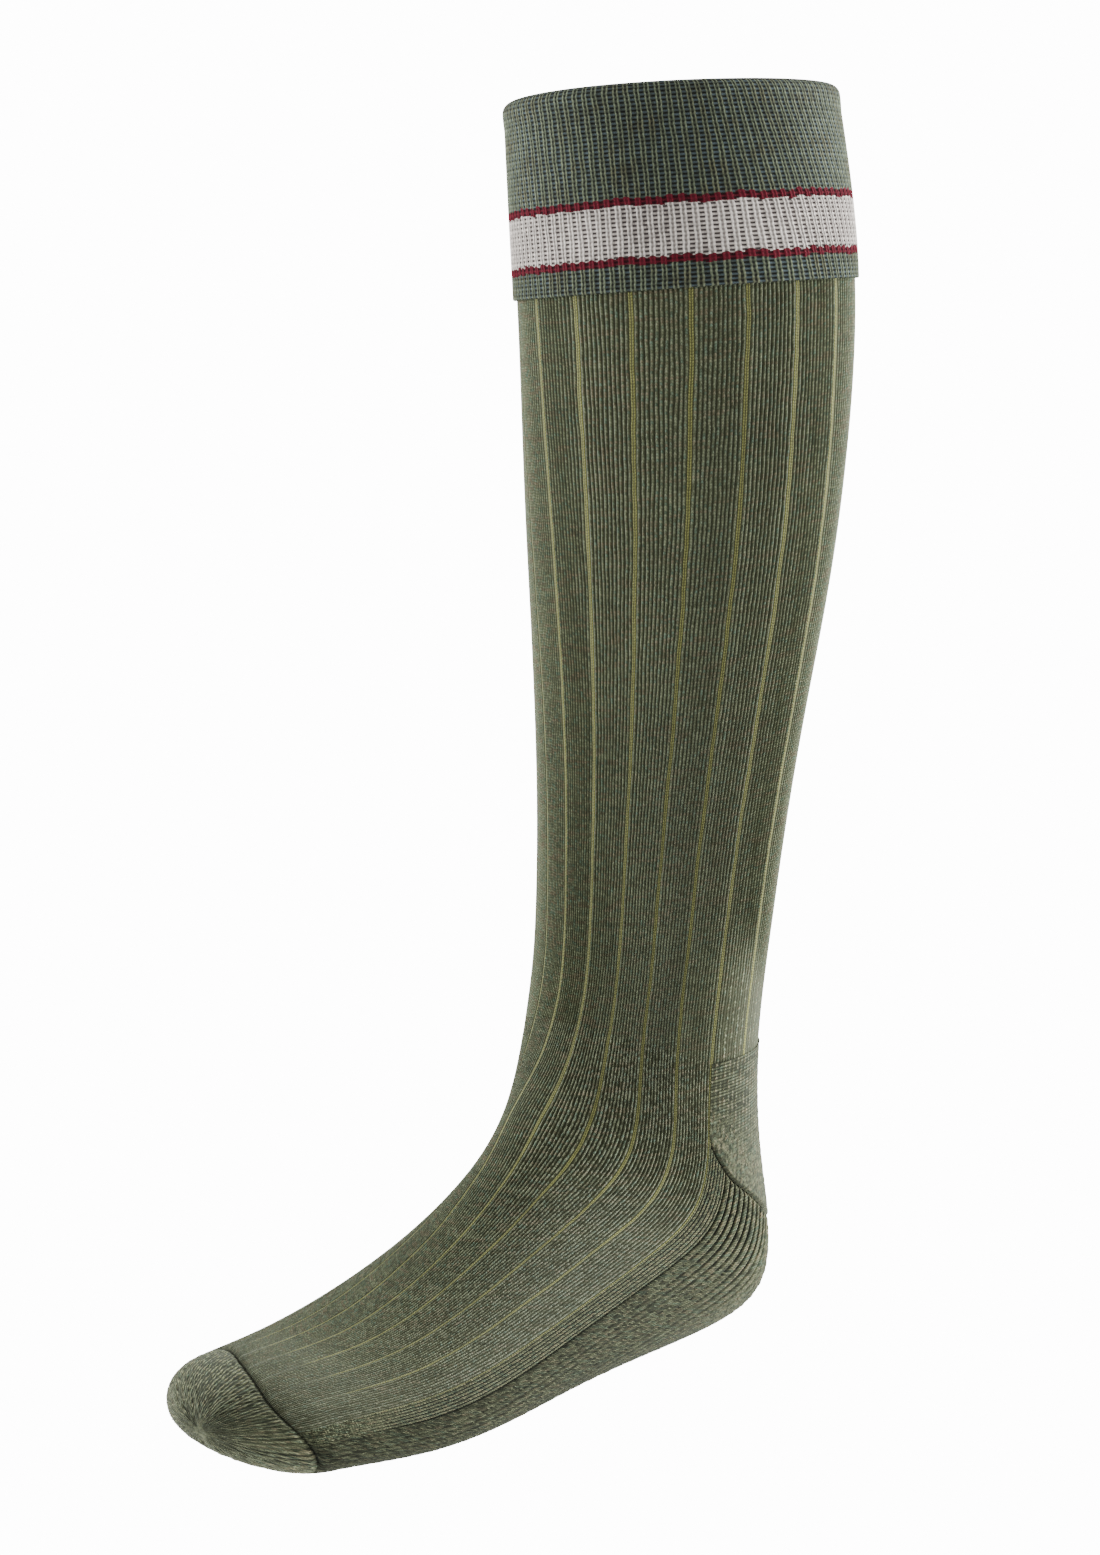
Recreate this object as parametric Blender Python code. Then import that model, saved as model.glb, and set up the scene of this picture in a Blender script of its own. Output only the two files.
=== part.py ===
"""Over-the-calf sock in its worn form, with a turned-down cuff.

Metres, +Z up. The origin is the centre of the leg opening, the toe points to -Y.
"""
from collections import namedtuple
import math

import bmesh
import bpy
import numpy as np
from mathutils import Vector

# Overall form
SOCK_DROP = 0.4615       # leg opening down to the underside of the heel
CALF_DEPTH = 0.1255      # shin to calf at the fullest ring
CALF_WIDTH = 0.1246      # side to side at the fullest ring
FOOT_LENGTH = 0.267      # back of the heel to the tip of the toe
INSTEP_HEIGHT = 0.105    # sole up to the bend of the ankle
FOOT_WIDTH = 0.096       # across the ball of the foot

# Knit
LEG_WALL = 0.0016        # fine rib of the leg and the instep
TERRY_WALL = 0.0024      # looped heel, sole and toe
CUFF_WALL = 0.0012       # open rib of the cuff
KNIT_GAP = 0.0003        # parting between neighbouring pieces
FLAP_CLEARANCE = 0.0004  # hem of the cuff off the leg
CHANNEL_DEPTH = 0.0005   # hollow of a pinstripe
CHANNEL_WIDTH = 0.0050   # two wales and their ladders

# Cuff, top to bottom
TURNOVER_DROP = 0.0376   # fold to the upper stripe
STRIPE_DROP = 0.0028     # each maroon stripe
CREAM_DROP = 0.0170      # cream band between the stripes
HEM_DROP = 0.0084        # green hem below the lower stripe
ROLL_RADIUS = 0.0035     # soft roll of the fold
ROLL_BULGE = 0.0005      # roll past the flap
INNER_DROP = 0.0120      # inner layer of the fold, down to the leg

# Toe seam
SEAM_WIDTH = 0.0016
SEAM_RISE = 0.0003

# Courses and wales of the shells
PINSTRIPES = 16
CUFF_COLUMNS = 48
LEG_COURSES = 12
HEEL_COURSES = 4
SOLE_COURSES = 12
TOE_COURSES = 5
ROLL_STEPS = 4

# Each ring is hung between a front point and a back point in the plane x = 0.
# front, back: share of CALF_DEPTH, forward is negative. drops: share of SOCK_DROP.
# width: share of CALF_WIDTH. crowd, twist: shares of a turn. lean: rise towards +X.
LegRing = namedtuple("LegRing", "front front_drop back back_drop width crowd twist lean")
LEG_RINGS = (
    LegRing(-0.496, 0.005, 0.496, -0.005, 0.883, 0.030, 0.000, 0.050),
    LegRing(-0.444, 0.086, 0.532, 0.076, 0.963, 0.030, 0.000, 0.050),
    LegRing(-0.408, 0.165, 0.556, 0.153, 0.995, 0.032, 0.000, 0.050),
    LegRing(-0.382, 0.249, 0.536, 0.232, 1.000, 0.036, 0.000, 0.035),
    LegRing(-0.363, 0.327, 0.490, 0.312, 0.982, 0.040, 0.002, 0.015),
    LegRing(-0.347, 0.405, 0.428, 0.394, 0.937, 0.044, 0.003, 0.000),
    LegRing(-0.339, 0.491, 0.349, 0.489, 0.867, 0.048, 0.005, 0.000),
    LegRing(-0.344, 0.577, 0.279, 0.593, 0.803, 0.052, 0.006, 0.000),
    LegRing(-0.363, 0.660, 0.221, 0.694, 0.766, 0.056, 0.008, 0.000),
    LegRing(-0.396, 0.712, 0.189, 0.775, 0.762, 0.058, 0.008, 0.000),
)

# front, back: share of FOOT_LENGTH. rises: share of INSTEP_HEIGHT above the sole.
# width: share of FOOT_WIDTH. waist: height of the widest line, from back to front.
# flat: how far the sole side is squared.
FootRing = namedtuple("FootRing", "front front_rise back back_rise width waist flat")
FOOT_RINGS = (
    FootRing(-0.215, 1.105, 0.102, 0.629, 0.990, 0.48, 0.00),
    FootRing(-0.248, 1.000, 0.132, 0.286, 0.979, 0.46, 0.10),
    FootRing(-0.284, 0.905, 0.104, 0.043, 0.948, 0.42, 0.25),
    FootRing(-0.333, 0.771, -0.061, 0.000, 0.927, 0.40, 0.40),
    FootRing(-0.426, 0.605, -0.288, 0.029, 0.958, 0.38, 0.40),
    FootRing(-0.539, 0.481, -0.482, 0.033, 1.000, 0.38, 0.40),
    FootRing(-0.651, 0.424, -0.625, 0.052, 0.969, 0.40, 0.40),
    FootRing(-0.763, 0.424, -0.730, 0.081, 0.854, 0.42, 0.30),
)
FOOT_CROWD = 0.058
FOOT_TWIST = (0.009, 0.013)     # at the ankle and at the toe
TIP_REACH = -0.868              # share of FOOT_LENGTH
TIP_RISE = 0.262                # share of INSTEP_HEIGHT
TOE_ANGLES = (25.0, 48.0, 68.0, 83.0, 90.0)

# Places counted in rings from the leg opening
ANKLE_RING = 9.3                # lower end of the leg, front and sides
HEEL_TOP_RING = 8.6             # top of the heel panel at the back
GORE_START_RING = 10.50         # where the gore leaves the side line
GORE_RING = 10.93               # along the back of the heel
GORE_SWEEP = 0.06               # turn over which the gore falls to its level
SEAM_RING = 17.66
SEAM_SKEW = 0.67                # the seam lies forward on one side
SEAM_BOW = 0.13                 # and bends on its way across
SIDE_LINE = 0.25                # turn from the front to the side of the foot
TIP_RING = len(LEG_RINGS) + len(FOOT_RINGS) + len(TOE_ANGLES) - 1.0

GREEN = (0.085, 0.105, 0.055)
TERRY_GREEN = (0.105, 0.130, 0.078)
CUFF_GREEN = (0.065, 0.090, 0.070)
MAROON = (0.110, 0.012, 0.018)
CREAM = (0.520, 0.460, 0.400)
KNIT_ROUGHNESS = 0.92

RING_SAMPLES = 180
NORMAL_STEP = 1e-3


def clear_scene():
    """Empty the file of its objects."""
    for item in list(bpy.data.objects):
        bpy.data.objects.remove(item, do_unlink=True)


def ring_table():
    """Rows of front y, z, back y, z, half width, waist, flat, crowd, twist, lean."""
    rows = []
    for ring in LEG_RINGS:
        rows.append((ring.front * CALF_DEPTH, -ring.front_drop * SOCK_DROP,
                     ring.back * CALF_DEPTH, -ring.back_drop * SOCK_DROP,
                     ring.width * CALF_WIDTH / 2, 0.5, 0.0, ring.crowd, ring.twist,
                     ring.lean))
    twists = np.linspace(FOOT_TWIST[0], FOOT_TWIST[1], len(FOOT_RINGS))
    for ring, twist in zip(FOOT_RINGS, twists):
        rows.append((ring.front * FOOT_LENGTH, ring.front_rise * INSTEP_HEIGHT - SOCK_DROP,
                     ring.back * FOOT_LENGTH, ring.back_rise * INSTEP_HEIGHT - SOCK_DROP,
                     ring.width * FOOT_WIDTH / 2, ring.waist, ring.flat, FOOT_CROWD, twist,
                     0.0))
    return rows + toe_rows(np.array(rows[-1]))


def toe_rows(last):
    """Rings that shrink on a quarter turn from the last foot ring to the tip."""
    tip = np.array((TIP_REACH * FOOT_LENGTH, TIP_RISE * INSTEP_HEIGHT - SOCK_DROP))
    middle = (last[0:2] + last[2:4]) / 2
    rows = []
    for angle in np.radians(TOE_ANGLES):
        centre = middle + (tip - middle) * math.sin(angle)
        front = centre + (last[0:2] - middle) * math.cos(angle)
        back = centre + (last[2:4] - middle) * math.cos(angle)
        width = last[4] * math.cos(angle)
        rows.append((*front, *back, width, last[5], last[6] * math.cos(angle), *last[7:10]))
    return rows


def natural_spline(values):
    """Second derivatives of a natural cubic spline through evenly spaced rows."""
    count = len(values)
    matrix = np.eye(count)
    right = np.zeros_like(values)
    for i in range(1, count - 1):
        matrix[i, i - 1:i + 2] = (1.0, 4.0, 1.0)
        right[i] = 6.0 * (values[i + 1] - 2.0 * values[i] + values[i - 1])
    return np.linalg.solve(matrix, right)


class SockForm:
    """The outer face of the sock, addressed by ring and turn."""

    def __init__(self):
        self.rows = np.array(ring_table())
        self.bends = natural_spline(self.rows)
        psi = np.linspace(-math.pi, math.pi, RING_SAMPLES + 1)
        self.cosines = np.cos(psi)
        self.sines = np.sin(psi)
        self.cache = {}

    def row(self, ring):
        """The spline's row at a ring number, whole or not."""
        low = int(min(max(math.floor(ring), 0), len(self.rows) - 2))
        b = ring - low
        a = 1.0 - b
        return (a * self.rows[low] + b * self.rows[low + 1]
                + ((a**3 - a) * self.bends[low] + (b**3 - b) * self.bends[low + 1]) / 6.0)

    def outline(self, ring):
        """Points round a ring and their share of its girth, from the back round."""
        key = round(ring, 7)
        if key not in self.cache:
            row = self.row(ring)
            front, back, width = row[0:2], row[2:4], max(row[4], 0.0)
            belly = back + row[5] * (front - back)
            power = np.where(self.cosines < 0, 1.0 - 0.45 * row[6], 1.0)
            across = width * np.sign(self.sines) * np.abs(self.sines)**power
            reach = np.abs(self.cosines)**power
            ends = np.where(self.cosines[:, None] < 0, back - belly, front - belly)
            points = np.column_stack((across, belly + ends * reach[:, None]))
            points[:, 2] += row[9] * across
            steps = np.linalg.norm(np.diff(points, axis=0), axis=1)
            girth = np.concatenate(((0.0,), np.cumsum(steps)))
            self.cache[key] = (points, girth / max(girth[-1], 1e-9), row)
        return self.cache[key]

    def point(self, ring, turn):
        """A point of the outer face. turn 0 is the front, 0.25 the +X side."""
        points, girth, row = self.outline(ring)
        angle = 2.0 * math.pi * turn
        share = turn + row[8] - row[7] * math.sin(angle) + 0.012 * math.sin(2.0 * angle)
        share = (share + 0.5) % 1.0
        return np.array([np.interp(share, girth, points[:, axis]) for axis in range(3)])

    def slopes(self, ring, turn):
        """Change of place per ring and per turn."""
        ahead = min(ring + NORMAL_STEP, TIP_RING)
        behind = max(ring - NORMAL_STEP, 0.0)
        down = (self.point(ahead, turn) - self.point(behind, turn)) / (ahead - behind)
        round_ = (self.point(ring, turn + NORMAL_STEP) - self.point(ring, turn - NORMAL_STEP))
        return down, round_ / (2.0 * NORMAL_STEP)

    def normal(self, ring, turn):
        """Outward direction of the knit."""
        if ring > TIP_RING - 0.02:
            last = self.rows[-len(TOE_ANGLES) - 1]
            axis = self.rows[-1][0:2] - (last[0:2] + last[2:4]) / 2
            return np.array((0.0, *axis)) / np.linalg.norm(axis)
        down, round_ = self.slopes(ring, turn)
        across = np.cross(down, round_)
        return across / np.linalg.norm(across)

    def offset(self, ring, turn, height):
        """A point that stands off the outer face."""
        return self.point(ring, turn) + height * self.normal(ring, turn)

    def ring_step(self, ring, turn, distance):
        """Rings that a distance along the sock comes to."""
        return distance / np.linalg.norm(self.slopes(ring, turn)[0])

    def turn_step(self, ring, turn, distance):
        """Turn that a distance round the sock comes to."""
        return distance / np.linalg.norm(self.slopes(ring, turn)[1])

    def ring_at_drop(self, drop):
        """The ring whose centre lies a distance below the leg opening."""
        rings = np.linspace(0.0, 4.0, 81)
        depths = [-(self.row(ring)[1] + self.row(ring)[3]) / 2 for ring in rings]
        return float(np.interp(drop, depths, rings))


FORM = SockForm()


def knit_material(name, colour):
    """A matt yarn."""
    material = bpy.data.materials.new(name)
    material.use_nodes = True
    shader = material.node_tree.nodes["Principled BSDF"]
    shader.inputs["Base Color"].default_value = (*colour, 1.0)
    shader.inputs["Roughness"].default_value = KNIT_ROUGHNESS
    shader.inputs["Metallic"].default_value = 0.0
    return material


def knit_shell(name, collection, colour, courses, columns, outer, inner):
    """A wall of knit: a grid laid on the outer face and carried in to the inner one.

    outer and inner give a point for a course and a column. Where the last column meets
    the first, or a course shrinks to a point, the grid is merged.
    """
    mesh = bmesh.new()
    bmesh.ops.create_grid(mesh, x_segments=columns, y_segments=courses, size=1.0)
    course_of = mesh.verts.layers.int.new("course")
    column_of = mesh.verts.layers.int.new("column")
    for vert in mesh.verts:
        vert[column_of] = round((vert.co.x + 1.0) / 2.0 * columns)
        vert[course_of] = round((vert.co.y + 1.0) / 2.0 * courses)
        vert.co = outer(vert[course_of], vert[column_of])
    bmesh.ops.remove_doubles(mesh, verts=mesh.verts[:], dist=1e-6)
    carried = bmesh.ops.extrude_face_region(mesh, geom=mesh.faces[:], use_keep_orig=True)
    for item in carried["geom"]:
        if isinstance(item, bmesh.types.BMVert):
            item.co = inner(item[course_of], item[column_of])
    bmesh.ops.recalc_face_normals(mesh, faces=mesh.faces[:])
    data = bpy.data.meshes.new(name)
    mesh.to_mesh(data)
    mesh.free()
    data.shade_smooth()
    data.set_sharp_from_angle(angle=math.radians(50.0))
    data.materials.append(knit_material(name, colour))
    piece = bpy.data.objects.new(name, data)
    collection.objects.link(piece)
    return piece


def face_shell(name, collection, colour, rings, turns, wall, lift=0.0, relief=None):
    """A shell on the sock's form. rings gives a column's rings, turns its turns."""
    columns = len(turns) - 1
    courses = len(rings(turns[0])) - 1

    def place(course, column, depth):
        turn = turns[column]
        ring = rings(turn)[course]
        if relief is not None:
            depth += relief(ring, turn)
        return Vector(FORM.offset(ring, turn_inside(ring, turn, turns), lift - depth))

    return knit_shell(name, collection, colour, courses, columns,
                      lambda course, column: place(course, column, 0.0),
                      lambda course, column: place(course, column, wall))


def turn_inside(ring, turn, turns):
    """Hold the two edges of an open patch half a gap inside their line."""
    if abs(turns[-1] - turns[0]) > 0.99:
        return turn
    if turn == turns[0]:
        return turn + FORM.turn_step(ring, turn, KNIT_GAP / 2)
    if turn == turns[-1]:
        return turn - FORM.turn_step(ring, turn, KNIT_GAP / 2)
    return turn


def even_turns(start, end, count):
    """Evenly spaced turns, both ends included."""
    return [start + (end - start) * i / count for i in range(count + 1)]


def stripe_turns(start, end):
    """Turns with a close group of three at each pinstripe and one midway."""
    middle = FORM.turn_step(3.0, 0.0, CHANNEL_WIDTH / 2)
    offsets = (0.0, middle, 0.5 / PINSTRIPES, 1.0 / PINSTRIPES - middle)
    turns = []
    for i in range(round(start * PINSTRIPES), round(end * PINSTRIPES)):
        turns += [i / PINSTRIPES + offset for offset in offsets]
    return turns + [end]


def channel(ring, turn):
    """Depth of the pinstripe channels, which run out short of the toe seam."""
    from_stripe = abs(turn * PINSTRIPES - round(turn * PINSTRIPES))
    fade = min(max((SEAM_RING - 0.8 - ring) / 0.8, 0.0), 1.0)
    return CHANNEL_DEPTH * fade if from_stripe < 1e-6 else 0.0


def ankle_ring(turn):
    """The lower end of the leg climbs over the heel panel towards the back."""
    past = max(abs((turn + 0.5) % 1.0 - 0.5) - SIDE_LINE, 0.0) / (0.5 - SIDE_LINE)
    return ANKLE_RING - (ANKLE_RING - HEEL_TOP_RING) * math.sin(math.pi / 2 * past)


def gore_ring(turn):
    """The gore falls from the side line to its level round the heel."""
    past = min(abs((turn + 0.5) % 1.0 - 0.5) - SIDE_LINE, GORE_SWEEP) / GORE_SWEEP
    return GORE_RING - (GORE_RING - GORE_START_RING) * (1.0 - past)**2


def seam_ring(turn):
    """The toe seam lies a little askew."""
    angle = 2.0 * math.pi * turn
    return SEAM_RING + SEAM_SKEW * math.sin(angle) + SEAM_BOW * math.sin(2.0 * angle)


def spread(start, end, turn, count):
    """Rings between two borders, held half a gap inside each of them."""
    first = start + FORM.ring_step(start, turn, KNIT_GAP / 2)
    last = end - FORM.ring_step(end, turn, KNIT_GAP / 2)
    return [first + (last - first) * i / count for i in range(count + 1)]


def leg_rings(turn):
    """The leg, from under the fold's inner layer to the ankle."""
    top = FORM.ring_at_drop(INNER_DROP)
    return spread(top, ankle_ring(turn), turn, LEG_COURSES)


def heel_rings(turn):
    """The upper heel, down to the gore."""
    return spread(ankle_ring(turn), gore_ring(turn), turn, HEEL_COURSES)


def sole_rings(turn):
    """The lower heel and the sole, gore to toe."""
    return spread(gore_ring(turn), seam_ring(turn), turn, SOLE_COURSES)


def instep_rings(turn):
    """The instep keeps step with the heel and the sole along the side line."""
    seam = seam_ring(turn)
    side = SEAM_WIDTH / 2 + KNIT_GAP / 2
    end = seam - FORM.ring_step(seam, turn, side)
    upper = spread(ANKLE_RING, GORE_START_RING, turn, HEEL_COURSES)
    lower = spread(GORE_START_RING, end, turn, SOLE_COURSES)
    return upper[:-1] + [GORE_START_RING] + lower[1:]


def toe_rings(turn):
    """The toe, from the seam line to the tip."""
    seam = seam_ring(turn)
    on_top = abs((turn + 0.5) % 1.0 - 0.5) <= SIDE_LINE + 1e-6
    side = SEAM_WIDTH / 2 + KNIT_GAP if on_top else KNIT_GAP / 2
    first = seam + FORM.ring_step(seam, turn, side)
    return [first + (TIP_RING - first) * i / TOE_COURSES for i in range(TOE_COURSES + 1)]


def build_leg(collection):
    """Ribbed tube with its pinstripe channels."""
    turns = stripe_turns(-0.5, 0.5)
    return face_shell("leg", collection, GREEN, leg_rings, turns, LEG_WALL, relief=channel)


def build_instep(collection):
    """Upper of the foot."""
    turns = stripe_turns(-SIDE_LINE, SIDE_LINE)
    return face_shell("instep", collection, GREEN, instep_rings, turns, LEG_WALL, relief=channel)


def build_heel_and_sole(collection):
    """Terry heel panel, heel cup and sole."""
    turns = even_turns(SIDE_LINE, 1.0 - SIDE_LINE, CUFF_COLUMNS // 2)
    face_shell("upper_heel", collection, TERRY_GREEN, heel_rings, turns, TERRY_WALL)
    face_shell("sole", collection, TERRY_GREEN, sole_rings, turns, TERRY_WALL)


def build_toe(collection):
    """Closed toe and the ridge of its seam."""
    turns = even_turns(-0.5, 0.5, CUFF_COLUMNS)
    face_shell("toe_cap", collection, TERRY_GREEN, toe_rings, turns, TERRY_WALL)
    across = (-1.0, 0.0, 1.0)

    def ridge_rings(turn):
        seam = seam_ring(turn)
        return [seam + FORM.ring_step(seam, turn, share * SEAM_WIDTH / 2) for share in across]

    def ridge_rise(ring, turn):
        return -SEAM_RISE if abs(ring - seam_ring(turn)) < 1e-6 else 0.0

    top = even_turns(-SIDE_LINE, SIDE_LINE, CUFF_COLUMNS // 2)
    face_shell("toe_seam", collection, GREEN, ridge_rings, top, TERRY_WALL, relief=ridge_rise)


def fold_profile():
    """Height off the leg and drop of the fold's public face, flap first, then inside."""
    flap = FLAP_CLEARANCE + CUFF_WALL
    middle = flap + ROLL_BULGE - ROLL_RADIUS
    settle = 3.0 * ROLL_RADIUS
    profile = [(flap, TURNOVER_DROP - KNIT_GAP / 2)]
    profile.append((flap, (TURNOVER_DROP + settle) / 2))
    profile.append((flap, settle))
    for i in range(ROLL_STEPS + 1):
        angle = math.pi * i / ROLL_STEPS
        profile.append((middle + ROLL_RADIUS * math.cos(angle),
                        ROLL_RADIUS * (1.0 - math.sin(angle))))
    profile.append((-CUFF_WALL, settle))
    profile.append((-CUFF_WALL, INNER_DROP - KNIT_GAP / 2))
    return profile


def inset_profile(profile, wall):
    """The same profile carried to the fabric's hidden face."""
    points = np.array(profile)
    along = np.gradient(points, axis=0)
    along /= np.linalg.norm(along, axis=1)[:, None]
    along[0] = (0.0, -1.0)
    along[-1] = (0.0, 1.0)
    return points + wall * np.column_stack((along[:, 1], -along[:, 0]))


def build_turnover(collection):
    """Folded top edge, with the inner layer that joins it to the leg."""
    outer = fold_profile()
    inner = inset_profile(outer, CUFF_WALL)
    turns = even_turns(-0.5, 0.5, CUFF_COLUMNS)

    def place(profile, course, column):
        height, drop = profile[course]
        return Vector(FORM.offset(FORM.ring_at_drop(drop), turns[column], height))

    return knit_shell("turnover_cuff", collection, CUFF_GREEN, len(outer) - 1, CUFF_COLUMNS,
                      lambda course, column: place(outer, course, column),
                      lambda course, column: place(inner, course, column))


def build_bands(collection):
    """Stripes, cream band and hem of the turned-down cuff."""
    bands = (("upper_stripe", STRIPE_DROP, MAROON, 1), ("cream_band", CREAM_DROP, CREAM, 1),
             ("lower_stripe", STRIPE_DROP, MAROON, 1), ("cuff_hem", HEM_DROP, CUFF_GREEN, 1))
    turns = even_turns(-0.5, 0.5, CUFF_COLUMNS)
    top = TURNOVER_DROP
    for name, drop, colour, courses in bands:
        start = FORM.ring_at_drop(top)
        end = FORM.ring_at_drop(top + drop)
        rings = lambda turn, a=start, b=end, n=courses: spread(a, b, turn, n)
        face_shell(name, collection, colour, rings, turns, CUFF_WALL,
                   lift=FLAP_CLEARANCE + CUFF_WALL)
        top += drop


def build_sock():
    """Make every piece in one collection."""
    clear_scene()
    collection = bpy.data.collections.new("over_the_calf_sock")
    bpy.context.scene.collection.children.link(collection)
    build_leg(collection)
    build_instep(collection)
    build_heel_and_sole(collection)
    build_toe(collection)
    build_turnover(collection)
    build_bands(collection)


build_sock()
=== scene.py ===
"""Over-the-calf sock: ribbed leg with pinstripes, terry foot, turned-down open-rib cuff.

Every piece is knit laid on one shared form. A place on the form is a ring, counted from
the leg opening to the tip of the toe, and a turn round the sock, 0 at the front.
"""

import logging
import math
from dataclasses import dataclass, field
from enum import Enum
from typing import Any

import bmesh
import bpy
import numpy as np
from mathutils import Matrix, Vector


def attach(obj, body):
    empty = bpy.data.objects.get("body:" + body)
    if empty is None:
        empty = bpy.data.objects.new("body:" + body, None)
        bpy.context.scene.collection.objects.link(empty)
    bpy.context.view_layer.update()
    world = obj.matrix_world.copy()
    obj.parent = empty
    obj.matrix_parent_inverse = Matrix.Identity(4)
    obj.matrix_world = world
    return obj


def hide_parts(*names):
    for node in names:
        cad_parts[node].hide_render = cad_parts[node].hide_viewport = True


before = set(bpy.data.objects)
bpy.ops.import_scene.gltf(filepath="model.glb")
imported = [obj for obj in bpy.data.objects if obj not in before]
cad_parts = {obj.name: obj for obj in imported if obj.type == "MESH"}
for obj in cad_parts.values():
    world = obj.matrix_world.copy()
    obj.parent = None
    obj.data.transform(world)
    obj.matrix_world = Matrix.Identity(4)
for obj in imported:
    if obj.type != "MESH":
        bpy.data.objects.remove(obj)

log = logging.getLogger("sock")

Grid = np.ndarray
Material = bpy.types.Material
Piece = bpy.types.Object
Colour = tuple[float, float, float]
Fade = tuple[float, float]      # where a smooth step starts and ends

WALES = 192                     # wales round the leg
STRIPE_WALES = 12.0             # wales from one pinstripe to the next
CUFF_COURSE = 0.00145           # pitch of the cuff's courses, in metres
CUFF_START = 0.15               # place of the cuff's first course
CREASE_SHADE = 0.88             # how far painted shade in creases, grooves and seams darkens the yarn
BRIGHTENING_LIFT = 0.5                 # how far the brightening layer lightens the yarn
BUMP_STRENGTH = 0.9
KNIT_SURFACE = {"Roughness": 0.95, "Specular IOR Level": 0.12, "Sheen Roughness": 0.55,
                "Sheen Tint": (0.75, 0.82, 0.66, 1.0)}


# Form of the sock

@dataclass(frozen=True)
class SockSize:
    """Overall sizes of the worn sock, in metres."""

    drop: float = 0.4615
    calf_depth: float = 0.1255
    calf_width: float = 0.1246
    foot_length: float = 0.267
    instep_height: float = 0.105
    foot_width: float = 0.096


@dataclass(frozen=True)
class LegRing:
    """A ring of the leg, as shares of the sock's drop, calf depth and calf width."""

    front: float
    front_drop: float
    back: float
    back_drop: float
    width: float
    crowd: float
    twist: float
    lean: float

    def row(self, size: SockSize) -> list[float]:
        """The ring in metres.

        Args:
            size: overall sizes.

        Returns:
            Front y and z, back y and z, half width, waist, flatness, crowding, twist, lean.
        """
        return [self.front * size.calf_depth, -self.front_drop * size.drop,
                self.back * size.calf_depth, -self.back_drop * size.drop,
                self.width * size.calf_width / 2, 0.5, 0.0, self.crowd, self.twist, self.lean]


@dataclass(frozen=True)
class FootRing:
    """A ring of the foot, as shares of the foot's length, height and width."""

    front: float
    front_rise: float
    back: float
    back_rise: float
    width: float
    waist: float
    flat: float

    def row(self, size: SockSize, crowd: float, twist: float) -> list[float]:
        """The ring in metres.

        Args:
            size: overall sizes.
            crowd: how the wales crowd to the front, as a share of a turn.
            twist: drift of the wales round the foot, as a share of a turn.

        Returns:
            The same ten numbers as LegRing.row.
        """
        return [self.front * size.foot_length, self.front_rise * size.instep_height - size.drop,
                self.back * size.foot_length, self.back_rise * size.instep_height - size.drop,
                self.width * size.foot_width / 2, self.waist, self.flat, crowd, twist, 0.0]


LEG_RINGS = (
    LegRing(-0.496, 0.005, 0.496, -0.005, 0.883, 0.030, 0.000, 0.050),
    LegRing(-0.444, 0.086, 0.532, 0.076, 0.963, 0.030, 0.000, 0.050),
    LegRing(-0.408, 0.165, 0.556, 0.153, 0.995, 0.032, 0.000, 0.050),
    LegRing(-0.382, 0.249, 0.536, 0.232, 1.000, 0.036, 0.000, 0.035),
    LegRing(-0.363, 0.327, 0.490, 0.312, 0.982, 0.040, 0.002, 0.015),
    LegRing(-0.347, 0.405, 0.428, 0.394, 0.937, 0.044, 0.003, 0.000),
    LegRing(-0.339, 0.491, 0.349, 0.489, 0.867, 0.048, 0.005, 0.000),
    LegRing(-0.344, 0.577, 0.279, 0.593, 0.803, 0.052, 0.006, 0.000),
    LegRing(-0.363, 0.660, 0.221, 0.694, 0.766, 0.056, 0.008, 0.000),
    LegRing(-0.396, 0.712, 0.189, 0.775, 0.762, 0.058, 0.008, 0.000),
)

FOOT_RINGS = (
    FootRing(-0.215, 1.105, 0.102, 0.629, 0.990, 0.48, 0.00),
    FootRing(-0.248, 1.000, 0.132, 0.286, 0.979, 0.46, 0.10),
    FootRing(-0.284, 0.905, 0.104, 0.043, 0.948, 0.42, 0.25),
    FootRing(-0.333, 0.771, -0.061, 0.000, 0.927, 0.40, 0.40),
    FootRing(-0.426, 0.605, -0.288, 0.029, 0.958, 0.38, 0.40),
    FootRing(-0.539, 0.481, -0.482, 0.033, 1.000, 0.38, 0.40),
    FootRing(-0.651, 0.424, -0.625, 0.052, 0.969, 0.40, 0.40),
    FootRing(-0.763, 0.424, -0.730, 0.081, 0.854, 0.42, 0.30),
)


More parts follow.
